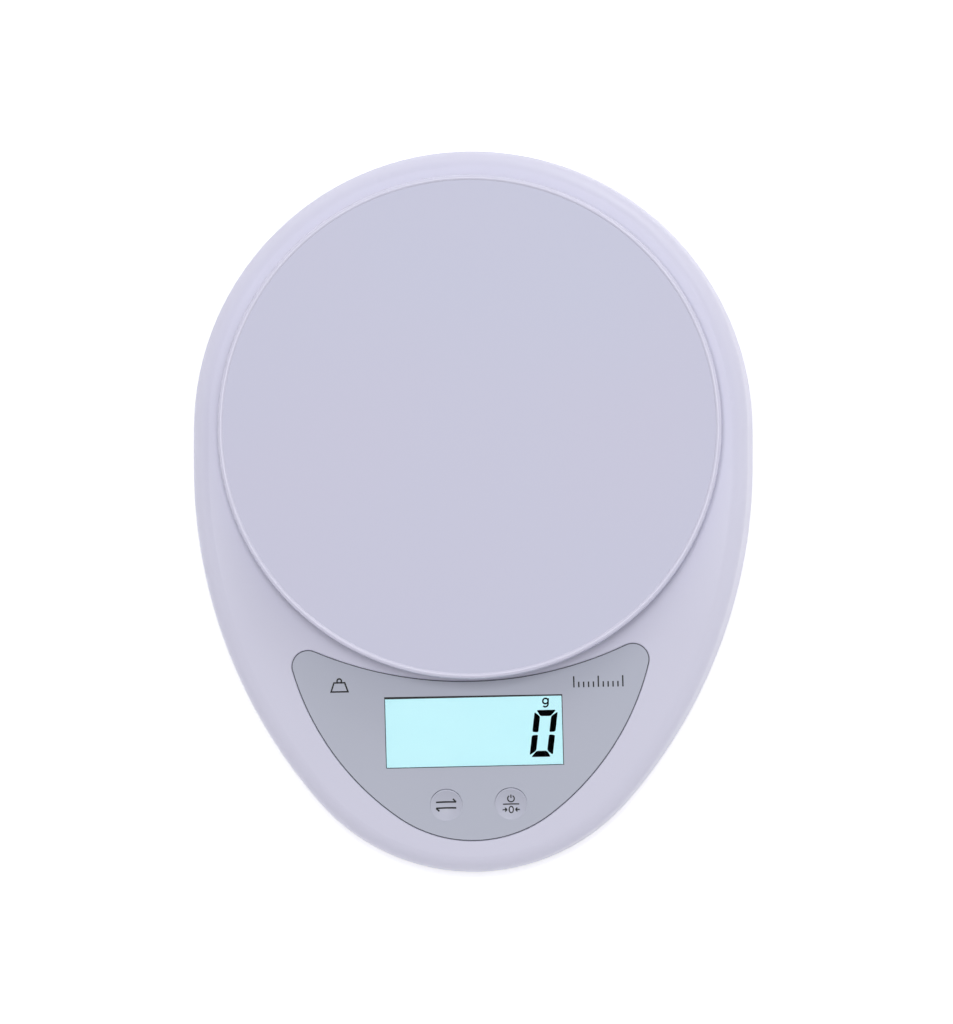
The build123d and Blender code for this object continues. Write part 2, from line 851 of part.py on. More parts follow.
# Platter carrier: ribbed disc with a boss down to the free end of the load cell
def make_carrier():
    disc = rod(0, platter_y, carrier_bottom, carrier_top, carrier_radius)
    rib_top = cover_inside - seat_gap
    rib_end = carrier_radius - carrier_rib / 2
    for index in range(carrier_rib_count):
        rib = block(0, rib_end, -carrier_rib / 2, carrier_rib / 2, carrier_bottom, rib_top)
        disc += turned_frame(index * 360 / carrier_rib_count) * rib
    for radius in (carrier_ring_radius, carrier_radius):
        ring = rod(0, platter_y, carrier_bottom, rib_top, radius)
        inside = rod(0, platter_y, carrier_bottom, rib_top, radius - carrier_rib)
        disc += ring - inside
    boss_bottom = spacer_top + seat_gap
    disc += slab(
        beam_hole_middle, platter_y, spacer_length, carrier_boss_width, carrier_boss_corner,
        boss_bottom, carrier_top,
    )
    seat = boss_bottom + carrier_boss_seat
    for x in (beam_hole_inner, beam_hole_outer):
        disc -= rod(x, platter_y, seat, platter_top, beam_head_radius + hole_gap)
        disc -= rod(x, platter_y, boss_bottom - cut_past, seat + cut_past, beam_screw_radius + hole_gap)
    for angle in hook_angles():
        disc -= turned_frame(angle) * hook_slot()
    return disc


def hook_angles():
    # Spread evenly round the carrier, each midway between two ribs
    gaps = [index * carrier_rib_count // hook_count for index in range(hook_count)]
    return [(gap + 0.5) * 360 / carrier_rib_count for gap in gaps]


def turned_frame(angle):
    # Local X runs out from the platter axis
    return Pos(0, platter_y, 0) * Rot(0, 0, angle)


def hook_slot():
    return block(
        hook_radius - hook_clearance, hook_radius + hook_thickness + hook_nose + hook_clearance,
        -hook_width / 2 - hook_clearance, hook_width / 2 + hook_clearance,
        carrier_bottom - cut_past, carrier_top + cut_past,
    )


def make_hook():
    # Leg down through the carrier, with a nose that catches under it
    nose_top = carrier_bottom - 2 * seat_gap
    bottom = nose_top - hook_nose_height
    leg_outside = hook_radius + hook_thickness
    root = cover_inside + cover_thickness / 2
    leg = block(hook_radius, leg_outside, -hook_width / 2, hook_width / 2, bottom, root)
    tip = leg_outside + hook_nose + hook_clearance + hook_catch
    corners = [(hook_radius, bottom), (hook_radius, nose_top), (tip, nose_top), (leg_outside, bottom)]
    nose = Plane.XZ * make_face(Polyline(corners, close=True))
    return leg + extrude(nose, amount=hook_width / 2, both=True)


def make_cover():
    # A shallow moulded dish turned upside down
    cover = rod(0, platter_y, skirt_bottom, platter_top, platter_radius)
    cover = fillet(cover.edges().group_by(Axis.Z)[-1], cover_edge)
    hollow = rod(0, platter_y, skirt_bottom - cut_past, cover_inside, platter_radius - cover_wall)
    hollow = fillet(hollow.edges().group_by(Axis.Z)[-1], cover_inside_edge)
    cover -= hollow
    cover = fillet(cover.edges().group_by(Axis.Z)[0], min(cover_lip, cover_wall / 3))
    for angle in hook_angles():
        cover += turned_frame(angle) * make_hook()
    return cover


def make_platter_screws():
    seat = spacer_top + seat_gap + carrier_boss_seat + seat_gap
    screw = pan_screw(beam_head_radius, beam_head_height, beam_screw_radius, platter_screw_length)
    screw = Rot(180, 0, 0) * screw
    return Compound([Pos(x, platter_y, seat) * screw for x in (beam_hole_inner, beam_hole_outer)])


# Batteries lie side by side, pointing opposite ways
def make_batteries():
    can_length = cell_length - cell_nub_length
    can = rod(0, 0, 0, can_length, cell_radius)
    can = fillet(can.edges(), cell_rim)
    nub = rod(0, 0, can_length - cell_rim, cell_length, cell_nub_radius)
    nub = fillet(nub.edges().group_by(Axis.Z)[-1], cell_rim / 2)
    cell = can + nub
    cells = []
    tip = bay_half_length - contact_thickness - 2 * seat_gap
    for side in (-1, 1):
        start = side * (tip - cell_length)
        turned = Pos(start, bay_y - side * cell_y, cell_z) * Rot(0, side * 90, 0)
        cells.append(turned * cell)
    return Compound(cells)


def contact_plate(y, side):
    # Flat plate on the end wall of the bay
    x0 = side * (bay_half_length - seat_gap)
    x1 = side * (bay_half_length - seat_gap - contact_thickness)
    half = contact_side / 2
    return block(min(x0, x1), max(x0, x1), y - half, y + half, cell_z - half, cell_z + half)


def contact_tail(y):
    # Solder tail through the slot in the bay's end wall
    x0 = bay_half_length - seat_gap - contact_thickness
    half = contact_tail_width / 2
    z0 = tail_z()
    return block(x0, tail_end(), y - half, y + half, z0, z0 + contact_thickness)


def tail_end():
    return bay_half_length + bay_wall + contact_tail_length


def contact_spring(y, side):
    # Wire cone whose wide end stands on the plate and whose tip touches the cell
    span = spring_length - 2 * spring_wire - 2 * seat_gap
    pitch = span / spring_turns
    cone = degrees(atan2(spring_radius - spring_tip_radius, span))
    path = Helix(pitch=pitch, height=span, radius=spring_radius, cone_angle=-cone)
    section = Plane(origin=path @ 0, z_dir=path % 0) * Circle(spring_wire)
    coil = sweep(section, path=path)
    base = bay_half_length - seat_gap - contact_thickness - spring_wire * spring_seat
    return Pos(side * base, y, cell_z) * Rot(0, -side * 90, 0) * coil


def make_positive_contact():
    y = bay_y - cell_y
    return contact_plate(y, 1) + contact_tail(y)


def make_negative_contact():
    y = bay_y + cell_y
    return contact_plate(y, 1) + contact_tail(y) + contact_spring(y, 1)


def make_bridge_contact():
    plate = contact_plate(bay_y - cell_y, -1) + contact_plate(bay_y + cell_y, -1)
    x0 = -bay_half_length + seat_gap
    x1 = x0 + contact_thickness
    half = bridge_width / 2
    plate += block(x0, x1, bay_y - cell_y, bay_y + cell_y, cell_z - half, cell_z + half)
    return plate + contact_spring(bay_y - cell_y, -1)


# Battery door: plate in the recess, two hooked tongues at the front edge, grip grooves at the back
def make_battery_door():
    half_length = recess_half_length - door_clearance
    near = hinge_y + door_clearance
    far = bay_y + recess_half_width - door_clearance
    door = block(-half_length, half_length, near, far, case_bottom, door_top)
    door = fillet(door.edges().filter_by(Axis.Z), door_corner)
    hook = floor_top + joint_clearance
    top = hook + door_tongue_thickness
    arm = near + door_arm_depth
    for side in (-1, 1):
        x0 = side * door_tongue_x - door_tongue_width / 2
        x1 = side * door_tongue_x + door_tongue_width / 2
        door += block(x0, x1, near, arm, case_bottom + door_thickness / 2, top)
        door += block(x0, x1, hinge_y - door_tongue_reach, arm, hook, top)
    for index in range(door_grip_count):
        y = far - door_grip_pitch * (index + 1)
        groove = Box(door_grip_length, door_grip_width, 2 * door_grip_depth)
        door -= Pos(0, y, case_bottom) * groove
    return door


def make_feet():
    feet = []
    for x, y in foot_places():
        foot = rod(x, y, 0, case_bottom + foot_recess - seat_gap, foot_radius)
        feet.append(fillet(foot.edges().group_by(Axis.Z)[0], foot_rounding))
    return Compound(feet)


def make_case_screws():
    screw = pan_screw(case_head_radius, case_head_height, case_screw_radius, case_screw_length)
    return Compound([Pos(x, y, case_web_bottom - seat_gap) * screw for x, y in case_screw_places()])


def console_point(u, v, w):
    return (console * Pos(u, v, w)).position


def make_wire(name, points, diameter):
    # A tube along straight runs joined by arcs as large as the runs allow
    points = [Vector(*point) if isinstance(point, tuple) else point for point in points]
    radii = []
    for before, corner, after in zip(points, points[1:], points[2:]):
        turn = radians((corner - before).get_angle(after - corner))
        run = min((corner - before).length, (after - corner).length)
        radii.append(arc_share * run / tan(turn / 2))
    path = FilletPolyline(*points, radius=radii)
    section = Plane(origin=path @ 0, z_dir=path % 0) * Circle(diameter / 2)
    tube = sweep(section, path=path)
    print(name, "radii", [round(radius, 1) for radius in radii], "length", round(path.length, 1))
    print(name, "volume", round(tube.volume, 1), "of", round(pi * diameter**2 / 4 * path.length, 1))
    return tube


def battery_wire(name, y, pad_u, lane):
    # From the solder tail forward under the free end of the load cell and up to the board
    low = floor_top + wire_floor_gap + wire_diameter / 2
    solder = tail_z() + contact_thickness / 2
    start_x = tail_end() + seat_gap
    under_x = lane + 11.0
    pad = console_point(pad_u, pad_v, board_bottom - seat_gap)
    points = [
        (start_x, y, solder),
        (start_x + lane + 4.0, y, solder),
        (start_x + lane + 7.0, y - 4.0, solder - 1.5),
        (start_x + lane + 6.0, platter_y + 26.0, solder - 4.0),
        (under_x + 13.0, platter_y + 17.0, low + 1.4),
        (under_x + 3.0, platter_y + 6.0, low),
        (under_x, platter_y - 6.0, low + 0.1),
        (under_x - 3.0, platter_y - 24.0, low),
        (under_x - 2.0, platter_y - 43.0, low + 0.3),
        (pad.X + 0.4, platter_y - 61.0, low + 0.9),
        (pad.X - 0.2, pad.Y + 7.0, low + 3.2),
        console_point(pad_u, pad_v, board_bottom - wire_rise),
        pad,
    ]
    return make_wire(name, points, wire_diameter)


def make_load_cell_cable():
    low = floor_top + wire_floor_gap + cable_diameter / 2
    side_y = platter_y - beam_side / 2 - seat_gap
    middle = beam_bottom + beam_side / 2
    pad = console_point(cable_pad_u, pad_v, board_bottom - seat_gap)
    points = [
        (-cable_exit, side_y, middle),
        (-cable_exit, side_y - 7.0, middle),
        (-cable_exit + 1.0, side_y - 18.0, low + 2.4),
        (-cable_exit + 3.0, side_y - 32.0, low),
        (-cable_exit + 2.0, side_y - 47.0, low + 0.1),
        (pad.X + 0.6, side_y - 60.0, low + 1.6),
        console_point(cable_pad_u, pad_v, board_bottom - cable_rise),
        pad,
    ]
    return make_wire("load cell cable", points, cable_diameter)


# Nodes
pieces = {
    "lower_case": make_lower_case(),
    "upper_case": make_upper_case(),
    "rubber_feet": make_feet(),
    "case_screws": make_case_screws(),
    "control_panel_overlay": make_overlay(),
    "display_lens": make_lens(),
    "lcd_frame": make_lcd_frame(),
    "lcd_glass": make_lcd_glass(),
    "backlight_diffuser": make_backlight(),
    "backlight_leds": make_leds(),
    "zebra_connectors": make_zebras(),
    "main_circuit_board": make_board(),
    "board_screws": make_board_screws(),
    "controller_chip": make_chip(),
    "circuit_components": make_components(),
    "unit_switch_body": make_switch_body(unit_button_u),
    "tare_switch_body": make_switch_body(tare_button_u),
    "unit_switch_plunger": make_plunger(unit_button_u),
    "tare_switch_plunger": make_plunger(tare_button_u),
    "unit_button_cap": make_button_cap(unit_button_u),
    "tare_button_cap": make_button_cap(tare_button_u),
    "load_cell": make_load_cell(),
    "strain_gauges": make_gauges(),
    "base_spacer_plate": make_spacer(-1, pad_top + seat_gap / 2),
    "carrier_spacer_plate": make_spacer(1, beam_top + seat_gap),
    "load_cell_base_screws": make_base_screws(),
    "overload_stop_screw": make_stop_screw(),
    "platter_carrier": make_carrier(),
    "platter_cover": make_cover(),
    "platter_screws": make_platter_screws(),
    "batteries": make_batteries(),
    "battery_contact_positive": make_positive_contact(),
    "battery_contact_negative": make_negative_contact(),
    "battery_contact_bridge": make_bridge_contact(),
    "battery_door": make_battery_door(),
    "battery_wire_positive": battery_wire("red battery wire", bay_y - cell_y, red_pad_u, 0),
    "battery_wire_negative": battery_wire("black battery wire", bay_y + cell_y, black_pad_u, lane_width),
    "load_cell_cable": make_load_cell_cable(),
}

for node, shape in pieces.items():
    export_step(shape, f"parts/{node}.step")
    print(node, "solids", len(shape.solids()), "volume", round(shape.volume, 1), "valid", shape.is_valid)
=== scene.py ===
import json
from math import cos, hypot, pi, radians, sin, sqrt, tan
import bpy
import bmesh
from mathutils import Matrix, Vector


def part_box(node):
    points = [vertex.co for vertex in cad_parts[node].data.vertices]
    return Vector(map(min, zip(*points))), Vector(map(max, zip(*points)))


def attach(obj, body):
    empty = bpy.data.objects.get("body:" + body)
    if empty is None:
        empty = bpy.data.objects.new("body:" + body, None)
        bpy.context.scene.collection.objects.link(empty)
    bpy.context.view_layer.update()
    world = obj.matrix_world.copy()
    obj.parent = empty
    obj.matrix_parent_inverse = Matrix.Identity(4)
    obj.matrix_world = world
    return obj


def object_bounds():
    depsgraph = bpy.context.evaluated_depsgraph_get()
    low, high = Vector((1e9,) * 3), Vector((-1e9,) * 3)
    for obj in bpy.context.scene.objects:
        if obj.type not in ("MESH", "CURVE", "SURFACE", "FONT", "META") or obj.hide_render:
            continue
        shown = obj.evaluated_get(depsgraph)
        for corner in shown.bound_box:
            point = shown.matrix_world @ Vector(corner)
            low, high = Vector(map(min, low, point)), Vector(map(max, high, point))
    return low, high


# Egg-shaped kitchen scale on a pale table, seen from almost straight above
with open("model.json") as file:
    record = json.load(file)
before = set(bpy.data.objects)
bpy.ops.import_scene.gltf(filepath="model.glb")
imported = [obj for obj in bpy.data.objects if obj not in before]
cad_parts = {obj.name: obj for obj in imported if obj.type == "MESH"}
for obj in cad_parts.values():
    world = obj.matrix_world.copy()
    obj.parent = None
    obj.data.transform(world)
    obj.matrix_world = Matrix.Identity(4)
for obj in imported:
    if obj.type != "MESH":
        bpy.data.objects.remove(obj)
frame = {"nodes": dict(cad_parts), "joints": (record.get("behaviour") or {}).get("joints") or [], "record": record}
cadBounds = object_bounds()
nodes = frame["nodes"]
mm = 0.001


def linear(hexColour):
    # sRGB hex to the linear values that the sockets take
    channels = [int(hexColour[i:i + 2], 16) / 255 for i in (0, 2, 4)]
    return [c / 12.92 if c <= 0.04045 else ((c + 0.055) / 1.055) ** 2.4 for c in channels] + [1.0]


def addNode(tree, kind, settings=None, links=None):
    # A node with its options and socket values set, and other nodes' outputs joined to it
    node = tree.nodes.new("ShaderNode" + kind)
    for key, value in (settings or {}).items():
        if isinstance(key, str) and key not in node.inputs:
            setattr(node, key, value)
        else:
            node.inputs[key].default_value = value
    for key, output in (links or {}).items():
        tree.links.new(output, node.inputs[key])
    return node


def newMaterial(name):
    # An empty material and the place on the piece, in metres in the scale's own frame
    material = bpy.data.materials.new(name)
    material.use_nodes = True
    material.node_tree.nodes.clear()
    return material, material.node_tree, addNode(material.node_tree, "TexCoord").outputs["Object"]


def perMm(sizeMm):
    # Texture scale for a pattern of that size, because places are in metres
    return 1 / (sizeMm * mm)


# Finishes: colours in sRGB hex, sizes in millimetres where the key says so
shellAbs = {
    "colour": "DDDCF0",       # lilac white of the two case halves
    "flowColour": "E1E0F3",   # where the melt met last it is a shade lighter
    "roughness": 0.40,
    "roughnessSpread": 0.04,
    "ior": 1.54,
    "flowMm": 70.0,
    "grainMm": 0.9,           # drawn coarse enough to show: spark-eroded grain is about 0.1 mm
    "grainDetail": 3.0,
    "grainDepthMm": 0.004,
}
# A shade darker and duller than the case, so that the platter stands out from it
platterAbs = dict(shellAbs, colour="CCC9E0", flowColour="C8CBE2", roughness=0.43, flowMm=90.0)
# The platter's rounded edge is polished in the tool, so it is glossier; its lighter colour is a painted highlight
# along the edge
platterEdgeHighlightAbs = dict(platterAbs, colour="DBD9EE", flowColour="DCDBF0", roughness=0.26, grainDepthMm=0.001)
# Moulded for the inside, where nobody polishes the tool: plain grey and matt
carrierAbs = dict(shellAbs, colour="C6C6CE", flowColour="CCCCD2", roughness=0.50)
# The keys' caps match the grey print of the panel
keyAbs = dict(shellAbs, colour="C4C6D7", flowColour="C7C9D9", roughness=0.42, flowMm=12.0)
# Carbon-black grade, which lets no light past the display
blackAbs = dict(shellAbs, colour="17181B", flowColour="1D1E21", roughness=0.45, flowMm=20.0)
# Uncoloured nylon: cream and waxy
switchNylon = dict(shellAbs, colour="D8D2C2", flowColour="DEDACB", roughness=0.5, flowMm=3.0)


def mouldedPlastic(name, look):
    # Satin from the tool's grain, with a faint drift of colour along the flow
    material, tree, where = newMaterial(name)
    grain = addNode(tree, "TexNoise", {
        "Scale": perMm(look["grainMm"]), "Detail": look["grainDetail"],
    }, {"Vector": where})
    flow = addNode(tree, "TexNoise", {"Scale": perMm(look["flowMm"])}, {"Vector": where})
    tint = addNode(tree, "Mix", {
        "data_type": "RGBA", 6: linear(look["colour"]), 7: linear(look["flowColour"]),
    }, {0: flow.outputs[0]})
    gloss = addNode(tree, "MapRange", {
        "To Min": look["roughness"] - look["roughnessSpread"],
        "To Max": look["roughness"] + look["roughnessSpread"],
    }, {"Value": grain.outputs[0]})
    bump = addNode(tree, "Bump", {"Distance": look["grainDepthMm"] * mm}, {"Height": grain.outputs[0]})
    shader = addNode(tree, "BsdfPrincipled", {"IOR": look["ior"]}, {
        "Base Color": tint.outputs[2], "Roughness": gloss.outputs[0], "Normal": bump.outputs[0],
    })
    addNode(tree, "OutputMaterial", None, {"Surface": shader.outputs[0]})
    return material


panelPolycarbonate = {
    "colour": "C1C4D4",       # grey print under a velvet film
    "secondColour": "BEC2D2",
    "roughness": 0.46,
    "roughnessSpread": 0.05,
    "ior": 1.58,
    "driftMm": 45.0,
    "velvetMm": 0.7,          # drawn coarse enough to show: the real texture is about 0.05 mm
    "velvetDetail": 4.0,
    "velvetDepthMm": 0.003,
}


def printedFilm(name, look):
    # Velvet polycarbonate film printed grey on its back: even, a little softer than the case
    material, tree, where = newMaterial(name)
    velvet = addNode(tree, "TexNoise", {
        "Scale": perMm(look["velvetMm"]), "Detail": look["velvetDetail"],
    }, {"Vector": where})
    drift = addNode(tree, "TexNoise", {"Scale": perMm(look["driftMm"])}, {"Vector": where})
    tint = addNode(tree, "Mix", {
        "data_type": "RGBA", 6: linear(look["colour"]), 7: linear(look["secondColour"]),
    }, {0: drift.outputs[0]})
    gloss = addNode(tree, "MapRange", {
        "To Min": look["roughness"] - look["roughnessSpread"],
        "To Max": look["roughness"] + look["roughnessSpread"],
    }, {"Value": velvet.outputs[0]})
    bump = addNode(tree, "Bump", {"Distance": look["velvetDepthMm"] * mm}, {"Height": velvet.outputs[0]})
    shader = addNode(tree, "BsdfPrincipled", {"IOR": look["ior"]}, {
        "Base Color": tint.outputs[2], "Roughness": gloss.outputs[0], "Normal": bump.outputs[0],
    })
    addNode(tree, "OutputMaterial", None, {"Surface": shader.outputs[0]})
    return material


screenInk = {
    "colour": "15161A", "secondColour": "1C1D22",
    "roughness": 0.5, "roughnessSpread": 0.08, "ior": 1.5, "driftMm": 0.8, "driftDetail": 3.0,
}
gapShadeInk = dict(screenInk, colour="555864", secondColour="4A4D58")   # thin, with the grey showing through; painted shade of the gap round the film
glowTintedInk = dict(screenInk, colour="37545C", secondColour="2F4A52")   # on the window: dark ink with the display's glow painted in as a teal tint
# The dark crystal lies inside its glass, so it has hardly a surface of its own
segmentInk = dict(screenInk, colour="08090C", secondColour="0C0D11", roughness=0.6, ior=1.04)


def printedInk(name, look):
    # Screen-printed ink lies unevenly, so its tone and gloss vary over less than a millimetre
    material, tree, where = newMaterial(name)
    drift = addNode(tree, "TexNoise", {
        "Scale": perMm(look["driftMm"]), "Detail": look["driftDetail"],
    }, {"Vector": where})
    tint = addNode(tree, "Mix", {
        "data_type": "RGBA", 6: linear(look["colour"]), 7: linear(look["secondColour"]),
    }, {0: drift.outputs[0]})
    gloss = addNode(tree, "MapRange", {
        "To Min": look["roughness"] - look["roughnessSpread"],
        "To Max": look["roughness"] + look["roughnessSpread"],
    }, {"Value": drift.outputs[0]})
    shader = addNode(tree, "BsdfPrincipled", {"IOR": look["ior"]}, {
        "Base Color": tint.outputs[2], "Roughness": gloss.outputs[0],
    })
    addNode(tree, "OutputMaterial", None, {"Surface": shader.outputs[0]})
    return material


windowAcrylic = {"tint": "F8FDFD", "secondTint": "FCFFFF", "roughness": 0.03, "ior": 1.49, "driftMm": 15.0}


def clearAcrylic(name, look):
    # Cast acrylic sheet: clear, with a polished face
    material, tree, where = newMaterial(name)
    drift = addNode(tree, "TexNoise", {"Scale": perMm(look["driftMm"])}, {"Vector": where})
    tint = addNode(tree, "Mix", {
        "data_type": "RGBA", 6: linear(look["tint"]), 7: linear(look["secondTint"]),
    }, {0: drift.outputs[0]})
    shader = addNode(tree, "BsdfPrincipled", {
        "IOR": look["ior"], "Transmission Weight": 1.0, "Roughness": look["roughness"],
    }, {"Base Color": tint.outputs[2]})
    addNode(tree, "OutputMaterial", None, {"Surface": shader.outputs[0]})
    return material


crystalGlass = {
    "colour": "56696B",       # polariser over grey-green fluid
    "secondColour": "5B6F70",
    "glow": "C9F3FA",         # blue-white light from behind
    "farGlow": "C1F0F9",      # a little less far from the lamps
    "strength": 1.03,
    "roughness": 0.22,
    "ior": 1.5,
    "driftMm": 26.0,
}


def backlitCrystal(name, look):
    # Liquid crystal glass lit from behind: an even pale blue, hardly darker away from its lamps
    material, tree, where = newMaterial(name)
    drift = addNode(tree, "TexNoise", {"Scale": perMm(look["driftMm"])}, {"Vector": where})
    fluid = addNode(tree, "Mix", {
        "data_type": "RGBA", 6: linear(look["colour"]), 7: linear(look["secondColour"]),
    }, {0: drift.outputs[0]})
    glow = addNode(tree, "Mix", {
        "data_type": "RGBA", 6: linear(look["glow"]), 7: linear(look["farGlow"]),
    }, {0: drift.outputs[0]})
    shader = addNode(tree, "BsdfPrincipled", {
        "IOR": look["ior"], "Emission Strength": look["strength"], "Roughness": look["roughness"],
    }, {"Base Color": fluid.outputs[2], "Emission Color": glow.outputs[2]})
    addNode(tree, "OutputMaterial", None, {"Surface": shader.outputs[0]})
    return material


# Milky grade that spreads the lamps' light evenly: white and smooth
lampAcrylic = dict(shellAbs, colour="E8F4F6", flowColour="F0F8FA", roughness=0.3, ior=1.49, flowMm=10.0)
# Cast over the lamps with a little phosphor in it: yellowish and shiny
lampResin = dict(shellAbs, colour="F2F0DC", flowColour="F6F4E4", roughness=0.15, ior=1.53, flowMm=1.5)
# Set as a drop under its own weight: black and shiny
dropEpoxy = dict(shellAbs, colour="0B0B0C", flowColour="121214", roughness=0.18, ior=1.55, flowMm=4.0)
# Fired, not moulded: dull brown
chipCeramic = dict(shellAbs, colour="8A6E52", flowColour="7D634A", roughness=0.55, flowMm=0.8)
# Brushed over the gauges by hand: white with a soft gloss
gaugeSilicone = dict(shellAbs, colour="EBEBE6", flowColour="F1F1ED", roughness=0.35, ior=1.41, flowMm=3.0)
# Drawn through a die round the strands: strong even colours and a soft gloss
redVinyl = dict(shellAbs, colour="A61A16", flowColour="B3211B", roughness=0.42, ior=1.53, flowMm=9.0)
blackVinyl = dict(redVinyl, colour="141415", flowColour="1A1A1C")
greyVinyl = dict(redVinyl, colour="8B8D92", flowColour="93959A")
# Grey rubber from an unpolished tool: matt, with a deeper grain that grips
footRubber = dict(
    shellAbs, colour="A9A9B2", flowColour="B0B0B8", roughness=0.78, ior=1.52,
    flowMm=5.0, grainMm=0.6, grainDepthMm=0.02,
)

contactSilicone = {
    "carbon": "2A2A2D", "clear": "A3A3A8",
    "stripeMm": 0.5, "waveFactor": 20,   # Blender's own factor; a stripe returns after 2 pi times 0.5
    "roughness": 0.6, "ior": 1.41,
}


def stripedSilicone(name, look):
    # Layers of carbon-filled and clear silicone; the real pitch of 0.1 mm is drawn wider to show
    material, tree, where = newMaterial(name)
    stripes = addNode(tree, "TexWave", {
        "Scale": perMm(look["stripeMm"]) / look["waveFactor"], "bands_direction": "X",
    }, {"Vector": where})
    tint = addNode(tree, "Mix", {
        "data_type": "RGBA", 6: linear(look["carbon"]), 7: linear(look["clear"]),
    }, {0: stripes.outputs["Fac"]})
    shader = addNode(tree, "BsdfPrincipled", {"IOR": look["ior"], "Roughness": look["roughness"]}, {
        "Base Color": tint.outputs[2],
    })
    addNode(tree, "OutputMaterial", None, {"Surface": shader.outputs[0]})
    return material


maskedLaminate = {
    "mask": "0F5A2E", "track": "1E7A41", "roughness": 0.28, "ior": 1.52,
    "trackMm": 2.4, "trackDepthMm": 0.03,
    "trackHalf": 0.10, "flankEnd": 0.16,   # from a track's middle, in cells of the pattern
}


def solderMask(name, look):
    # Green mask with a net of lighter tracks, whose flanks catch the light
    material, tree, where = newMaterial(name)
    cells = addNode(tree, "TexVoronoi", {
        "Scale": perMm(look["trackMm"]), "feature": "DISTANCE_TO_EDGE",
    }, {"Vector": where})
    track = addNode(tree, "MapRange", {
        "From Min": look["trackHalf"], "From Max": look["flankEnd"],
    }, {"Value": cells.outputs["Distance"]})
    tint = addNode(tree, "Mix", {
        "data_type": "RGBA", 6: linear(look["track"]), 7: linear(look["mask"]),
    }, {0: track.outputs[0]})
    bump = addNode(tree, "Bump", {"Distance": look["trackDepthMm"] * mm}, {"Height": track.outputs[0]})
    shader = addNode(tree, "BsdfPrincipled", {"IOR": look["ior"], "Roughness": look["roughness"]}, {
        "Base Color": tint.outputs[2], "Normal": bump.outputs[0],
    })
    addNode(tree, "OutputMaterial", None, {"Surface": shader.outputs[0]})
    return material


beamAluminium = {
    "colour": "C9CBCE", "secondColour": "BDBFC3",
    "roughness": 0.36, "roughnessSpread": 0.08,
    "lineMm": 0.5, "lineDetail": 4.0, "lineDepthMm": 0.004,
    "stretch": (0.04, 1.0, 1.0),   # mill lines run along the bar
}
# Zinc plating dulls the steel and leaves large faint spangles; screws and springs are smoother
plateZinc = dict(
    beamAluminium, colour="A9ACB1", secondColour="B7B9BC", roughness=0.42,
    lineMm=1.4, stretch=(1.0, 1.0, 1.0),
)
screwZinc = dict(plateZinc, colour="B1B3B5", secondColour="9FA1A5", roughness=0.34, lineMm=0.4)
springNickel = dict(plateZinc, colour="C2BDB2", secondColour="B4AFA5", roughness=0.25, lineMm=0.8)


def workedMetal(name, look):
    # Bare or plated metal: fine tool lines or crystal spangle vary its tone and gloss
    material, tree, where = newMaterial(name)
    scaled = addNode(tree, "Mapping", {"Scale": look["stretch"]}, {"Vector": where})
    lines = addNode(tree, "TexNoise", {
        "Scale": perMm(look["lineMm"]), "Detail": look["lineDetail"],
    }, {"Vector": scaled.outputs[0]})
    tint = addNode(tree, "Mix", {
        "data_type": "RGBA", 6: linear(look["colour"]), 7: linear(look["secondColour"]),
    }, {0: lines.outputs[0]})
    gloss = addNode(tree, "MapRange", {
        "To Min": look["roughness"] - look["roughnessSpread"],
        "To Max": look["roughness"] + look["roughnessSpread"],
    }, {"Value": lines.outputs[0]})
    bump = addNode(tree, "Bump", {"Distance": look["lineDepthMm"] * mm}, {"Height": lines.outputs[0]})
    shader = addNode(tree, "BsdfPrincipled", {"Metallic": 1.0}, {
        "Base Color": tint.outputs[2], "Roughness": gloss.outputs[0], "Normal": bump.outputs[0],
    })
    addNode(tree, "OutputMaterial", None, {"Surface": shader.outputs[0]})
    return material


cellSleeve = {
    "steel": "B8B9BB", "sleeve": "23282F", "band": "B77A3C",
    "sleeveStartMm": -19.9, "bandStartMm": 9.0, "sleeveEndMm": 22.4,
    "roughness": 0.3, "roughnessSpread": 0.06, "scuffMm": 6.0, "scuffDetail": 3.0,
    "filmMetallic": 0.2,   # the steel shows a little through the film
}


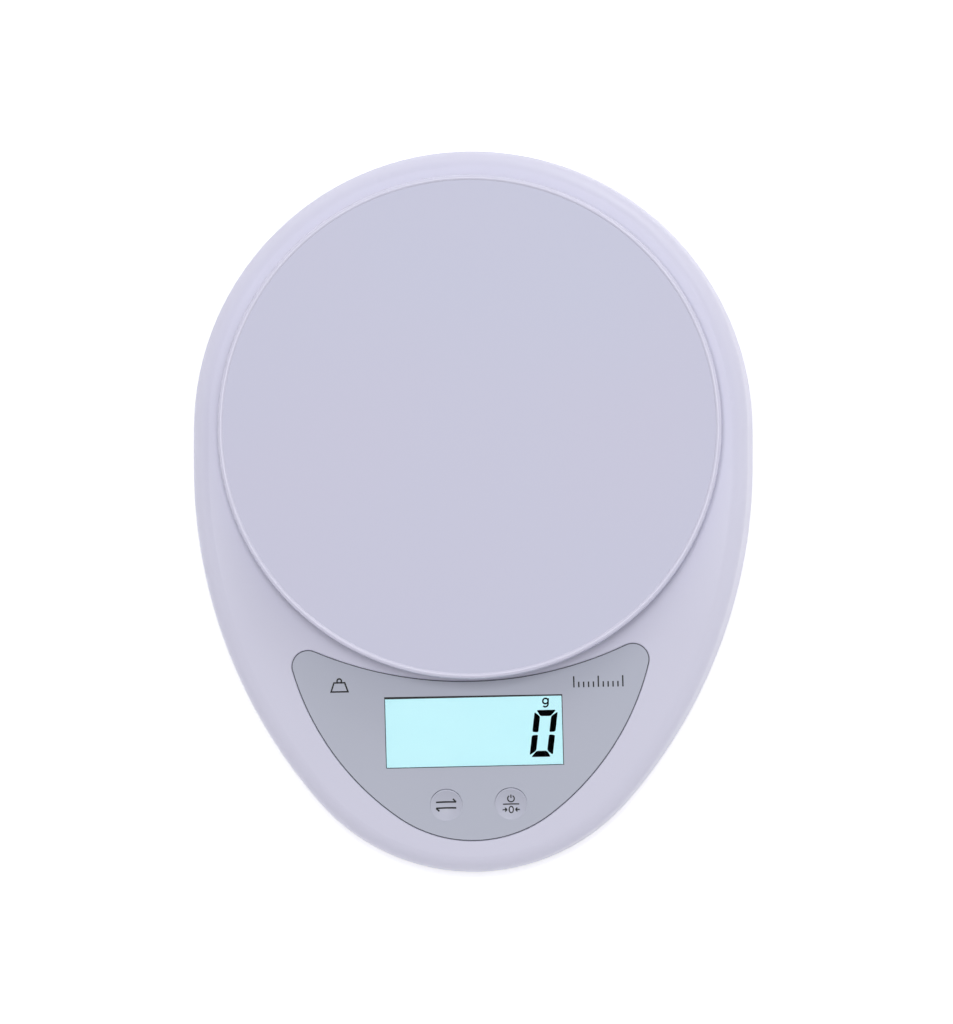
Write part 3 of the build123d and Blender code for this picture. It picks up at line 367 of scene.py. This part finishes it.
def printedSleeve(name, look, bayMiddle):
    # Shrunk film on a steel can: dark with a copper band at the positive end, steel at both ends
    material, tree, where = newMaterial(name)
    axes = addNode(tree, "SeparateXYZ", None, {"Vector": where})
    nearRow = addNode(tree, "Math", {"operation": "LESS_THAN", 1: bayMiddle}, {0: axes.outputs["Y"]})
    side = addNode(tree, "MapRange", {"To Min": -1.0, "To Max": 1.0}, {"Value": nearRow.outputs[0]})
    along = addNode(tree, "Math", {"operation": "MULTIPLY"}, {0: axes.outputs["X"], 1: side.outputs[0]})
    banded, started, ended = [
        addNode(tree, "Math", {"operation": "GREATER_THAN", 1: look[place] * mm}, {0: along.outputs[0]})
        for place in ("bandStartMm", "sleeveStartMm", "sleeveEndMm")
    ]
    filmColour = addNode(tree, "Mix", {
        "data_type": "RGBA", 6: linear(look["sleeve"]), 7: linear(look["band"]),
    }, {0: banded.outputs[0]})
    covered = addNode(tree, "Math", {"operation": "SUBTRACT"}, {0: started.outputs[0], 1: ended.outputs[0]})
    tint = addNode(tree, "Mix", {"data_type": "RGBA", 6: linear(look["steel"])}, {
        0: covered.outputs[0], 7: filmColour.outputs[2],
    })
    metal = addNode(tree, "MapRange", {
        "To Min": 1.0, "To Max": look["filmMetallic"],
    }, {"Value": covered.outputs[0]})
    scuff = addNode(tree, "TexNoise", {
        "Scale": perMm(look["scuffMm"]), "Detail": look["scuffDetail"],
    }, {"Vector": where})
    gloss = addNode(tree, "MapRange", {
        "To Min": look["roughness"] - look["roughnessSpread"],
        "To Max": look["roughness"] + look["roughnessSpread"],
    }, {"Value": scuff.outputs[0]})
    shader = addNode(tree, "BsdfPrincipled", None, {
        "Base Color": tint.outputs[2], "Metallic": metal.outputs[0], "Roughness": gloss.outputs[0],
    })
    addNode(tree, "OutputMaterial", None, {"Surface": shader.outputs[0]})
    return material


bayLow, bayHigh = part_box("batteries")
finishes = {
    "body_plastic": mouldedPlastic("shell_abs_moulded", shellAbs),
    "platter_plastic": mouldedPlastic("platter_abs_moulded", platterAbs),
    "carrier_plastic": mouldedPlastic("carrier_abs_moulded", carrierAbs),
    "panel_film": printedFilm("panel_polycarbonate_printed", panelPolycarbonate),
    "button_plastic": mouldedPlastic("key_abs_moulded", keyAbs),
    "clear_window": clearAcrylic("window_acrylic_polished", windowAcrylic),
    "lcd_glass": backlitCrystal("display_crystal_backlit", crystalGlass),
    "diffuser_plastic": mouldedPlastic("diffuser_acrylic_moulded", lampAcrylic),
    "led_resin": mouldedPlastic("lamp_resin_cast", lampResin),
    "contact_rubber": stripedSilicone("contact_silicone_layered", contactSilicone),
    "black_plastic": mouldedPlastic("black_abs_moulded", blackAbs),
    "switch_plastic": mouldedPlastic("switch_nylon_moulded", switchNylon),
    "board_laminate": solderMask("board_laminate_masked", maskedLaminate),
    "black_resin": mouldedPlastic("drop_epoxy_cast", dropEpoxy),
    "chip_ceramic": mouldedPlastic("chip_ceramic_fired", chipCeramic),
    "beam_aluminium": workedMetal("beam_aluminium_milled", beamAluminium),
    "gauge_coating": mouldedPlastic("gauge_silicone_brushed_on", gaugeSilicone),
    "plate_steel": workedMetal("plate_steel_zinc_plated", plateZinc),
    "screw_steel": workedMetal("screw_steel_zinc_plated", screwZinc),
    "contact_nickel": workedMetal("contact_steel_nickel_plated", springNickel),
    "battery_can": printedSleeve("cell_sleeve_printed", cellSleeve, (bayLow.y + bayHigh.y) / 2),
    "red_wire": mouldedPlastic("wire_vinyl_extruded_red", redVinyl),
    "black_wire": mouldedPlastic("wire_vinyl_extruded_black", blackVinyl),
    "grey_wire": mouldedPlastic("cable_vinyl_extruded_grey", greyVinyl),
    "rubber": mouldedPlastic("foot_rubber_moulded", footRubber),
}
for row in frame["record"]["subparts"]:
    for slot in nodes[row["node"]].material_slots:
        slot.material = finishes[row["material_slot"]]
print("finishes on", len(nodes), "nodes")


# The console's own frame: u to the right, v up the slope, w out of the panel, in mm from the
# middle of the display window, with w = 0 on the window's top face
console = {
    "windowHalfThickness": 0.5,
    "filmTop": 0.45,          # the overlay's face
    "printLift": 0.002,       # print and the film's lips lie this far clear of it
    "segmentLow": -2.49,      # the dark segments lie on the crystal glass, whose face is at -2.5
    "segmentHigh": -2.47,
    "unitButton": (-9.35, -23.4),
    "tareButton": (11.25, -23.4),
}


def middle(node):
    low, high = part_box(node)
    return (low + high) / 2


pressJoint = next(joint for joint in frame["joints"] if joint["name"] == "unit_button_press")
outward = -Vector(pressJoint["axis"]).normalized()
acrossConsole = (middle("tare_button_cap") - middle("unit_button_cap")).normalized()
upConsole = outward.cross(acrossConsole)
windowTop = middle("display_lens") + outward * console["windowHalfThickness"] * mm


def onConsole(u, v, w):
    return windowTop + (acrossConsole * u + upConsole * v + outward * w) * mm


def toConsole(point):
    offset = (Vector(point) - windowTop) / mm
    return offset.dot(acrossConsole), offset.dot(upConsole), offset.dot(outward)


def finishPiece(name, mesh, material, body):
    # Turns a bmesh into a piece that rides on a body
    bmesh.ops.recalc_face_normals(mesh, faces=mesh.faces)
    data = bpy.data.meshes.new(name)
    mesh.to_mesh(data)
    mesh.free()
    piece = bpy.data.objects.new(name, data)
    bpy.context.scene.collection.objects.link(piece)
    data.materials.append(material)
    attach(piece, body)
    return piece


def addPrism(mesh, outline, place, low, high):
    # A thin closed prism over a flat outline
    under = [mesh.verts.new(place(u, v, low)) for u, v in outline]
    over = [mesh.verts.new(place(u, v, high)) for u, v in outline]
    mesh.faces.new(over)
    mesh.faces.new(list(reversed(under)))
    for i in range(len(outline)):
        mesh.faces.new((under[i - 1], under[i], over[i], over[i - 1]))


mitreLimit = 0.5   # least cosine at a corner, which keeps a mitre under twice the ribbon's width


def addRibbon(mesh, points, width, place, low, high, closed=False):
    # A line of even width along points, mitred at its corners
    count = len(points)
    rings = []
    for i in range(count):
        before = points[i - 1] if i > 0 or closed else points[i]
        after = points[(i + 1) % count] if i < count - 1 or closed else points[i]
        first = Vector((points[i][0] - before[0], points[i][1] - before[1]))
        second = Vector((after[0] - points[i][0], after[1] - points[i][1]))
        first = first.normalized() if first.length else second.normalized()
        second = second.normalized() if second.length else first
        along = (first + second).normalized()
        aside = Vector((-along.y, along.x)) * width / 2 / max(along.dot(first), mitreLimit)
        sides = [(points[i][0] + s * aside.x, points[i][1] + s * aside.y) for s in (1, -1)]
        rings.append([mesh.verts.new(place(u, v, w)) for w in (low, high) for u, v in sides])
    for i in range(count if closed else count - 1):
        a, b = rings[i], rings[(i + 1) % count]
        for k, n in ((0, 1), (1, 3), (3, 2), (2, 0)):
            mesh.faces.new((a[k], a[n], b[n], b[k]))
    if not closed:
        mesh.faces.new((rings[0][0], rings[0][1], rings[0][3], rings[0][2]))
        mesh.faces.new((rings[-1][0], rings[-1][1], rings[-1][3], rings[-1][2]))


def arcPoints(u, v, radius, start, end, stepDegrees=12):
    # Start and end in degrees
    count = max(2, round(abs(end - start) / stepDegrees))
    angles = [radians(start + (end - start) * i / count) for i in range(count + 1)]
    return [(u + radius * cos(a), v + radius * sin(a)) for a in angles]


def circlePoints(u, v, radius, count):
    angles = [2 * pi * i / count for i in range(count)]
    return [(u + radius * cos(a), v + radius * sin(a)) for a in angles]


faceDepth = 0.05    # mm below the film's highest point that still belongs to its face
sameSpot = 3        # decimals of a millimetre to which corners are matched


def filmEdge():
    # The outer edge of the overlay's face, read from the frame
    film = nodes["control_panel_overlay"].data
    spots = [toConsole(vertex.co) for vertex in film.vertices]
    top = max(spot[2] for spot in spots)
    uses = {}
    for face in film.polygons:
        if all(spots[i][2] > top - faceDepth for i in face.vertices):
            for edge in face.edge_keys:
                ends = tuple(sorted(tuple(round(x, sameSpot) for x in spots[i][:2]) for i in edge))
                uses[ends] = uses.get(ends, 0) + 1
    joined = {}
    for (a, b), count in uses.items():
        if count == 1 and a != b:
            joined.setdefault(a, []).append(b)
            joined.setdefault(b, []).append(a)
    start = min(joined)
    loop, before = [start], None
    while True:
        after = [spot for spot in joined[loop[-1]] if spot != before]
        before = loop[-1]
        if after[0] == start:
            return loop
        loop.append(after[0])


panelLine = {
    "width": 0.27,     # dark border at the film's edge: painted shade of the gap round the film
    "inset": 0.10,
    "thickness": 0.02,
}


# A dark line just inside the film's edge: painted shade standing in for the gap round the film
def makePanelLine():
    edge = filmEdge()
    area = sum(a[0] * b[1] - b[0] * a[1] for a, b in zip(edge, edge[1:] + edge[:1]))
    turn = 1 if area > 0 else -1
    inner = []
    for before, spot, after in zip(edge[-1:] + edge[:-1], edge, edge[1:] + edge[:1]):
        along = Vector((after[0] - before[0], after[1] - before[1])).normalized()
        inset = turn * panelLine["inset"]
        inner.append((spot[0] - along.y * inset, spot[1] + along.x * inset))
    mesh = bmesh.new()
    low = console["filmTop"] - panelLine["thickness"] / 2
    addRibbon(mesh, inner, panelLine["width"], onConsole, low, low + panelLine["thickness"], closed=True)
    ink = printedInk("border_ink_painted_gap_shade", gapShadeInk)
    finishPiece("panel_border_painted_shade", mesh, ink, "housing")


# Half sizes of the film's opening, and the widths of the border's four sides: the top one, which narrows to the
# right, and the right one are on the film, the other two inside on the window.
# The top side is widened into a painted shadow of the film's edge; the two inner sides carry a painted teal glow
# from the display
windowLine = {
    "halfWidth": 28.25, "halfHeight": 11.1,
    "topLeftShadowed": 0.72, "topRightShadowed": 0.45, "right": 0.25, "bottom": 0.26, "left": 0.26,
    "thickness": 0.02,
}


def makeWindowLine():
    look = windowLine
    u, v = look["halfWidth"], look["halfHeight"]
    right = u + look["right"]
    mesh = bmesh.new()
    low = console["filmTop"] + console["printLift"]
    for outline in (
        [(-u, v), (right, v), (right, v + look["topRightShadowed"]), (-u, v + look["topLeftShadowed"])],
        [(u, -v), (right, -v), (right, v), (u, v)],
    ):
        addPrism(mesh, outline, onConsole, low, low + look["thickness"])
    # Black ink, with the top side widened into a painted shadow of the film's edge on the sunk window
    ink = printedInk("border_ink_black_and_painted_shadow", screenInk)
    finishPiece("window_border_top_painted_shadow", mesh, ink, "housing")
    mesh = bmesh.new()
    inner = -u + look["left"]
    for outline in (
        [(-u, -v), (u, -v), (u, -v + look["bottom"]), (-u, -v + look["bottom"])],
        [(-u, -v + look["bottom"]), (inner, -v + look["bottom"]), (inner, v), (-u, v)],
    ):
        addPrism(mesh, outline, onConsole, console["printLift"], look["thickness"])
    # The teal is painted light: the display's glow painted onto the dark ink
    ink = printedInk("border_ink_painted_glow_teal", glowTintedInk)
    finishPiece("window_border_foot", mesh, ink, "housing")


digit = {
    "middle": (22.17, -1.15),
    "width": 7.4, "height": 15.0,
    "stroke": 1.95,
    "gap": 0.14,
    "middleGap": 0.72,
    "slant": 7.9,
    "cut": 0.5,         # how far the outer corners are cut
    "softening": 0.55,  # and how much every corner is rounded
    "shoulder": 0.1,    # a post's outer end stands out by this share of the stroke
}


roundingSteps = (0, 0.33, 0.67, 1)


def softened(outline, reach):
    # The same outline with each corner rounded off
    spots = []
    for before, corner, after in zip(outline[-1:] + outline[:-1], outline, outline[1:] + outline[:1]):
        b, c, a = Vector(before), Vector(corner), Vector(after)
        first = c + (b - c).normalized() * min(reach, (b - c).length / 2)
        last = c + (a - c).normalized() * min(reach, (a - c).length / 2)
        spots += [tuple(first.lerp(c, t).lerp(c.lerp(last, t), t)) for t in roundingSteps]
    return spots


def segmentOutlines(look):
    # The six outer segments of a figure nought, square to the window
    x, y = look["width"] / 2, look["height"] / 2
    s, g, c, m = look["stroke"], look["gap"] / 2, look["cut"], look["middleGap"] / 2
    bar = [(-x + c + g, y), (x - c - g, y), (x - s - g, y - s), (-x + s + g, y - s)]
    post = [(-x, y - c - g), (-x + s, y - s - g), (-x + s, m), (-x, m + s * look["shoulder"])]
    outlines = []
    for flipY in (1, -1):
        outlines.append([(u, v * flipY) for u, v in bar])
        for flipX in (1, -1):
            outlines.append([(u * flipX, v * flipY) for u, v in post])
    return outlines


def makeDigit():
    look = digit
    lean = tan(radians(look["slant"]))
    mesh = bmesh.new()
    for outline in segmentOutlines(look):
        rounded = softened(outline, look["softening"])
        slanted = [(look["middle"][0] + u + v * lean, look["middle"][1] + v) for u, v in rounded]
        addPrism(mesh, slanted, onConsole, console["segmentLow"], console["segmentHigh"])
    finishPiece("display_digit", mesh, segmentMaterial, "housing")


unitSign = {
    "middle": (23.0, 9.2), "bowl": 0.85, "bowlCorners": 24,
    "tail": 1.0, "tailTurn": -140, "stroke": 0.5, "slant": 3.0,
}


def makeUnitSign():
    # A small g for grams: a round bowl with a tail that hooks back
    look = unitSign
    lean = tan(radians(look["slant"]))
    u, v = look["middle"]

    def place(x, y, w):
        return onConsole(u + x + y * lean, v + y, w)

    low, high = console["segmentLow"], console["segmentHigh"]
    mesh = bmesh.new()
    bowl = look["bowl"]
    ring = circlePoints(0, 0, bowl, look["bowlCorners"])
    addRibbon(mesh, ring, look["stroke"], place, low, high, closed=True)
    tail = [(bowl, bowl)] + arcPoints(0, -look["tail"], bowl, 0, look["tailTurn"])
    addRibbon(mesh, tail, look["stroke"], place, low, high)
    finishPiece("display_unit_sign", mesh, segmentMaterial, "housing")


segmentMaterial = printedInk("segment_crystal_dark", segmentInk)
makePanelLine()
makeWindowLine()
makeDigit()
makeUnitSign()
print("display and lines made")


# Signs printed in the dished keys follow the hollow
keyDish = {"radius": 5.3, "edge": 0.35, "depth": 1.6, "inkLow": 0.005, "inkHigh": 0.03}


def onKey(centre):
    # Places on the hollow of the key at centre, which is part of a ball
    rim = keyDish["radius"] - keyDish["edge"]
    ball = (rim**2 + keyDish["depth"] ** 2) / (2 * keyDish["depth"])

    def place(u, v, w):
        sag = ball - sqrt(ball**2 - u**2 - v**2)
        return onConsole(centre[0] + u, centre[1] + v, console["filmTop"] - keyDish["depth"] + sag + w)

    return place


def straight(start, end, step=0.5):
    # Enough points along a straight stroke for it to follow the hollow
    count = max(1, round(hypot(end[0] - start[0], end[1] - start[1]) / step))
    return [tuple(a + (b - a) * i / count for a, b in zip(start, end)) for i in range(count + 1)]


# Set a little up the slope, so that the gap beside the key shows as a dark arc at its top
filmLip = {"inner": 5.18, "outer": 6.0, "shift": 0.36, "thickness": 0.018, "corners": 96}


def makeFilmLips():
    # The film's edge drawn in over each key's rim, which it hides
    middleRadius = (filmLip["inner"] + filmLip["outer"]) / 2
    width = filmLip["outer"] - filmLip["inner"]
    low = console["filmTop"] + console["printLift"]
    mesh = bmesh.new()
    for u, v in (console["unitButton"], console["tareButton"]):
        ring = circlePoints(u, v + filmLip["shift"], middleRadius, filmLip["corners"])
        addRibbon(mesh, ring, width, onConsole, low, low + filmLip["thickness"], closed=True)
    finishPiece("film_lips", mesh, finishes["panel_film"], "housing")


swapArrows = {"reach": 3.2, "spread": 0.95, "head": 1.0, "shift": (-0.1, 0.15), "stroke": 0.52}


def swapStrokes(look):
    # Two arrows that point opposite ways: change the unit
    strokes = []
    for side in (1, -1):
        u, v = look["shift"]
        tip = (u + side * look["reach"], v + side * look["spread"])
        tailEnd = (u - side * look["reach"], v + side * look["spread"])
        strokes.append((straight(tailEnd, tip), False))
        barb = (tip[0] - side * look["head"], tip[1] + side * look["head"])
        strokes.append((straight(barb, tip), False))
    return strokes


zeroSign = {
    "ring": 1.05, "gapDegrees": 62, "barStart": 0.2, "barEnd": 1.3, "lineHalf": 2.6,
    "offset": 1.75,                    # ring above the line and nought below it, by as much
    "nought": 0.8925, "noughtWide": 0.75, "noughtTall": 1.1, "noughtCorners": 24,
    "arrowTip": 1.35, "arrowTail": 2.75, "barb": 0.6,
    "stroke": 0.39,
}


def zeroStrokes(look):
    # A ring with a bar for on and off, a line, and below it an oval nought between two arrows
    ring, up = look["ring"], look["offset"]
    opening = look["gapDegrees"] / 2
    nought = [
        (look["noughtWide"] * u, look["noughtTall"] * v - up)
        for u, v in circlePoints(0, 0, look["nought"], look["noughtCorners"])
    ]
    strokes = [
        (arcPoints(0, up, ring, 90 + opening, 450 - opening), False),
        (straight((0, up + look["barStart"]), (0, up + look["barEnd"])), False),
        (straight((-look["lineHalf"], 0), (look["lineHalf"], 0)), False),
        (nought, True),
    ]
    for side in (1, -1):
        tip = (side * look["arrowTip"], -up)
        strokes.append((straight((side * look["arrowTail"], -up), tip), False))
        for rise in (look["barb"], -look["barb"]):
            barbEnd = (side * (look["arrowTip"] + look["barb"]), -up + rise)
            strokes.append((straight(barbEnd, tip), False))
    return strokes


def makeKeySigns():
    ink = printedInk("key_ink_printed", screenInk)
    for key, look, strokes in (
        ("unit", swapArrows, swapStrokes(swapArrows)),
        ("tare", zeroSign, zeroStrokes(zeroSign)),
    ):
        mesh = bmesh.new()
        place = onKey(console[key + "Button"])
        for points, closed in strokes:
            addRibbon(mesh, points, look["stroke"], place, keyDish["inkLow"], keyDish["inkHigh"], closed)
        finishPiece(key + "_key_sign", mesh, ink, key + "_button")


# Plain pictures on the panel's two lobes: a weight with its ring, and a row of scale marks
panelPrint = 0.02   # mm thick
weightPicture = {
    "middle": (-42.4, 15.3), "halfTop": 1.7, "halfBottom": 2.7, "height": 2.9,
    "ring": 0.7, "ringRise": 0.56, "ringFrom": -50, "ringTo": 230, "stroke": 0.5,
}
markRow = {
    "middle": (40.1, 15.4), "length": 15.6, "count": 11, "longEvery": 5,
    "short": 1.8, "long": 3.6, "stroke": 0.45,
}


def makePanelPictures():
    ink = printedInk("panel_ink_printed", screenInk)
    low = console["filmTop"] + console["printLift"]
    high = low + panelPrint
    look = weightPicture
    u, v = look["middle"]
    mesh = bmesh.new()
    base = v - look["height"] / 2
    body = [(u - look["halfBottom"], base), (u + look["halfBottom"], base)]
    body += [(u + look["halfTop"], base + look["height"]), (u - look["halfTop"], base + look["height"])]
    addRibbon(mesh, body, look["stroke"], onConsole, low, high, closed=True)
    ringMiddle = base + look["height"] + look["ringRise"]
    ringPoints = arcPoints(u, ringMiddle, look["ring"], look["ringFrom"], look["ringTo"])
    addRibbon(mesh, ringPoints, look["stroke"], onConsole, low, high)
    finishPiece("weight_picture", mesh, ink, "housing")

    look = markRow
    u, v = look["middle"]
    mesh = bmesh.new()
    foot = v - look["long"] / 2
    for i in range(look["count"]):
        tall = look["long"] if i % look["longEvery"] == 0 else look["short"]
        x = u + look["length"] * (i / (look["count"] - 1) - 0.5)
        addRibbon(mesh, [(x, foot), (x, foot + tall)], look["stroke"], onConsole, low, high)
    finishPiece("scale_mark_row", mesh, ink, "housing")


makeFilmLips()
makeKeySigns()
makePanelPictures()
print("signs printed")


platterEdge = {
    "round": 0.9, "flat": 0.8,        # the cover's own rounding, and the flat strip inside it
    "over": 0.02, "under": 0.01,      # how far the skin's faces lie over and under the cover's
    "lastTilt": 84, "steps": 8, "around": 240,
}


def makePlatterEdgeHighlight():
    # A thin skin over the cover's rounded edge, with a little of the flat inside it: polished, and lighter than
    # the platter as a painted highlight
    look = platterEdge
    low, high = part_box("platter_cover")
    axis = (low + high) / 2
    start = (high.x - low.x) / 2 / mm - look["round"]
    tilts = [radians(look["lastTilt"] * i / look["steps"]) for i in range(look["steps"] + 1)]
    spots = [(start - look["flat"], 0.0, 0.0)]
    spots += [(start + look["round"] * sin(t), look["round"] * (cos(t) - 1), t) for t in tilts]
    mesh = bmesh.new()
    rings = []
    for i in range(look["around"]):
        turn = 2 * pi * i / look["around"]
        ring = []
        for offset in (look["over"], -look["under"]):
            for out, drop, tilt in spots:
                out, rise = out + offset * sin(tilt), drop + offset * cos(tilt)
                ring.append(mesh.verts.new((
                    axis.x + out * cos(turn) * mm, axis.y + out * sin(turn) * mm, high.z + rise * mm,
                )))
        count = len(spots)
        rings.append(ring[:count] + ring[:count - 1:-1])
    for i, ring in enumerate(rings):
        before = rings[i - 1]
        for k in range(len(ring)):
            face = mesh.faces.new((before[k - 1], before[k], ring[k], ring[k - 1]))
            face.smooth = 1 <= k < len(spots)
    # Lighter than the platter: painted highlight on the rounded edge
    material = mouldedPlastic("platter_edge_abs_painted_highlight", platterEdgeHighlightAbs)
    finishPiece("platter_edge_painted_highlight", mesh, material, "platter")


makePlatterEdgeHighlight()


# Underside: a raised arrow on the battery door
doorArrow = {
    "length": 7.0, "width": 5.0, "fromHinge": 8.0, "height": 0.3, "sunk": 0.05,
    "bevel": 0.12, "bevelSteps": 2, "bevelProfile": 0.6,
}


def makeDoorArrow():
    low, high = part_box("battery_door")
    look = doorArrow
    start = low.y / mm + look["fromHinge"]
    wide, far = look["width"] / 2, start + look["length"]
    outline = [(-wide, far), (0, start), (wide, far)]

    def place(x, y, w):
        return Vector((x, y, low.z / mm - w)) * mm

    mesh = bmesh.new()
    addPrism(mesh, outline, place, -look["sunk"], look["height"])
    bmesh.ops.bevel(
        mesh, geom=mesh.edges[:], offset=look["bevel"] * mm, segments=look["bevelSteps"],
        affect="EDGES", profile=look["bevelProfile"],
    )
    finishPiece("battery_door_arrow", mesh, finishes["body_plastic"], "battery_door")


makeDoorArrow()


table = {
    "colour": "F6F6F8", "secondColour": "F3F3F6", "drift": 0.4,
    "half": 6.0, "drop": 0.0001,   # metres; it lies just clear of the feet
    "glow": "FFFFFF", "whiteness": 0.47,
}


def makeTable():
    # Board painted matt and pale: it goes to white for the camera and keeps the scale's shadow.
    # From below it is clear, so that the underside can be looked at
    material, tree, where = newMaterial("table_board_painted")
    drift = addNode(tree, "TexNoise", {"Scale": 1 / table["drift"]}, {"Vector": where})
    tint = addNode(tree, "Mix", {
        "data_type": "RGBA", 6: linear(table["colour"]), 7: linear(table["secondColour"]),
    }, {0: drift.outputs[0]})
    matt = addNode(tree, "BsdfDiffuse", None, {"Color": tint.outputs[2]})
    path = addNode(tree, "LightPath")
    mirrored = addNode(tree, "Math", {"operation": "MAXIMUM"}, {
        0: path.outputs["Is Glossy Ray"], 1: path.outputs["Is Transmission Ray"],
    })
    seen = addNode(tree, "Math", {"operation": "MAXIMUM"}, {
        0: path.outputs["Is Camera Ray"], 1: mirrored.outputs[0],
    })
    glow = addNode(tree, "Math", {"operation": "MULTIPLY", 1: table["whiteness"]}, {0: seen.outputs[0]})
    lit = addNode(tree, "Emission", {"Color": linear(table["glow"])}, {"Strength": glow.outputs[0]})
    both = addNode(tree, "AddShader", None, {0: matt.outputs[0], 1: lit.outputs[0]})
    fromBelow = addNode(tree, "NewGeometry").outputs["Backfacing"]
    clear = addNode(tree, "BsdfTransparent")
    shown = addNode(tree, "MixShader", None, {0: fromBelow, 1: both.outputs[0], 2: clear.outputs[0]})
    addNode(tree, "OutputMaterial", None, {"Surface": shown.outputs[0]})
    mesh = bmesh.new()
    half = table["half"]
    corners = ((-half, -half), (half, -half), (half, half), (-half, half))
    mesh.faces.new([mesh.verts.new((x, y, -table["drop"])) for x, y in corners])
    data = bpy.data.meshes.new("table")
    mesh.to_mesh(data)
    mesh.free()
    data.materials.append(material)
    board = bpy.data.objects.new("table", data)
    bpy.context.scene.collection.objects.link(board)


# Soft boxes: degrees round from +X and up from the table, size in metres, power in watts
lampDistance = 3.0
lamps = {
    "topLamp": {"round": 90, "up": 84, "size": (0.9, 0.9), "power": 25.7},
    "keyLamp": {"round": 60, "up": 30, "size": (1.2, 1.2), "power": 14.7},
    "backLeftLamp": {"round": 125, "up": 14, "size": (1.8, 0.6), "power": 5.2},
}


def makeLamps():
    for name, look in lamps.items():
        data = bpy.data.lights.new(name, "AREA")
        data.shape = "RECTANGLE"
        data.size, data.size_y = look["size"]
        data.energy = look["power"]
        turn, lift = radians(look["round"]), radians(look["up"])
        way = Vector((cos(turn) * cos(lift), sin(turn) * cos(lift), sin(lift)))
        lamp = bpy.data.objects.new(name, data)
        lamp.location = way * lampDistance
        lamp.rotation_euler = way.to_track_quat("Z", "Y").to_euler()
        bpy.context.scene.collection.objects.link(lamp)


# Surroundings: even light that fades out overhead, where a dark ceiling keeps the display clear
air = {"strength": 0.62, "white": 1.0, "colour": "FFFFFF", "fadeStart": 55, "fadeEnd": 72}


def makeAir():
    # The camera sees them at full white, and so do gloss and glass except overhead
    world = bpy.data.worlds.new("air")
    bpy.context.scene.world = world
    world.use_nodes = True
    tree = world.node_tree
    tree.nodes.clear()
    axes = addNode(tree, "SeparateXYZ", None, {"Vector": addNode(tree, "TexCoord").outputs["Generated"]})
    openSky = addNode(tree, "MapRange", {
        "interpolation_type": "SMOOTHSTEP",
        "From Min": sin(radians(air["fadeStart"])), "From Max": sin(radians(air["fadeEnd"])),
        "To Min": 1.0, "To Max": 0.0,
    }, {"Value": axes.outputs["Z"]})
    path = addNode(tree, "LightPath")
    mirrored = addNode(tree, "Math", {"operation": "MAXIMUM"}, {
        0: path.outputs["Is Glossy Ray"], 1: path.outputs["Is Transmission Ray"],
    })
    level = addNode(tree, "MapRange", {
        "To Min": air["strength"], "To Max": air["white"],
    }, {"Value": mirrored.outputs[0]})
    lit = addNode(tree, "Math", {"operation": "MULTIPLY"}, {0: openSky.outputs[0], 1: level.outputs[0]})
    strength = addNode(tree, "MapRange", {"To Max": air["white"]}, {
        "Value": path.outputs["Is Camera Ray"], "To Min": lit.outputs[0],
    })
    back = addNode(tree, "Background", {"Color": linear(air["colour"])}, {"Strength": strength.outputs[0]})
    addNode(tree, "OutputWorld", None, {"Surface": back.outputs[0]})


makeTable()
makeLamps()
makeAir()
print("table and light set")


# The photograph's view: from straight above but for a small tilt, through a long lens
photo = {
    "width": 953, "height": 1024,
    "pxPerMm": 3.135,
    "middle": (473.1, 511.4),    # px, where the middle of the scale is
    "seamHeight": 6.5,           # mm, the outline is widest at the seam of the case
    "tiltRight": 2.3, "tiltFront": 2.4,
    "distance": 9.0, "clipEnd": 40.0,   # metres
    "sensor": 36.0,
}


def makeCamera():
    look = photo
    right, front = sin(radians(look["tiltRight"])), sin(radians(look["tiltFront"]))
    back = Vector((right, -front, sqrt(1 - right**2 - front**2)))
    level = (Vector((0, 1, 0)) - back * back.y).normalized()
    beside = level.cross(back)
    low, high = cadBounds
    aim = Vector(((low.x + high.x) / 2, (low.y + high.y) / 2, look["seamHeight"] * mm))
    perPx = mm / look["pxPerMm"]
    aim += beside * (look["width"] / 2 - look["middle"][0]) * perPx
    aim -= level * (look["height"] / 2 - look["middle"][1]) * perPx
    data = bpy.data.cameras.new("photoCamera")
    data.sensor_width = look["sensor"]
    data.lens = look["sensor"] * look["distance"] / (look["height"] * perPx)
    data.clip_end = look["clipEnd"]
    camera = bpy.data.objects.new("photoCamera", data)
    camera.matrix_world = Matrix((
        (beside.x, level.x, back.x, 0), (beside.y, level.y, back.y, 0),
        (beside.z, level.z, back.z, 0), (0, 0, 0, 1),
    ))
    camera.location = aim + back * look["distance"]
    bpy.context.scene.collection.objects.link(camera)
    bpy.context.scene.camera = camera


makeCamera()
bpy.context.scene.view_settings.view_transform = "Standard"
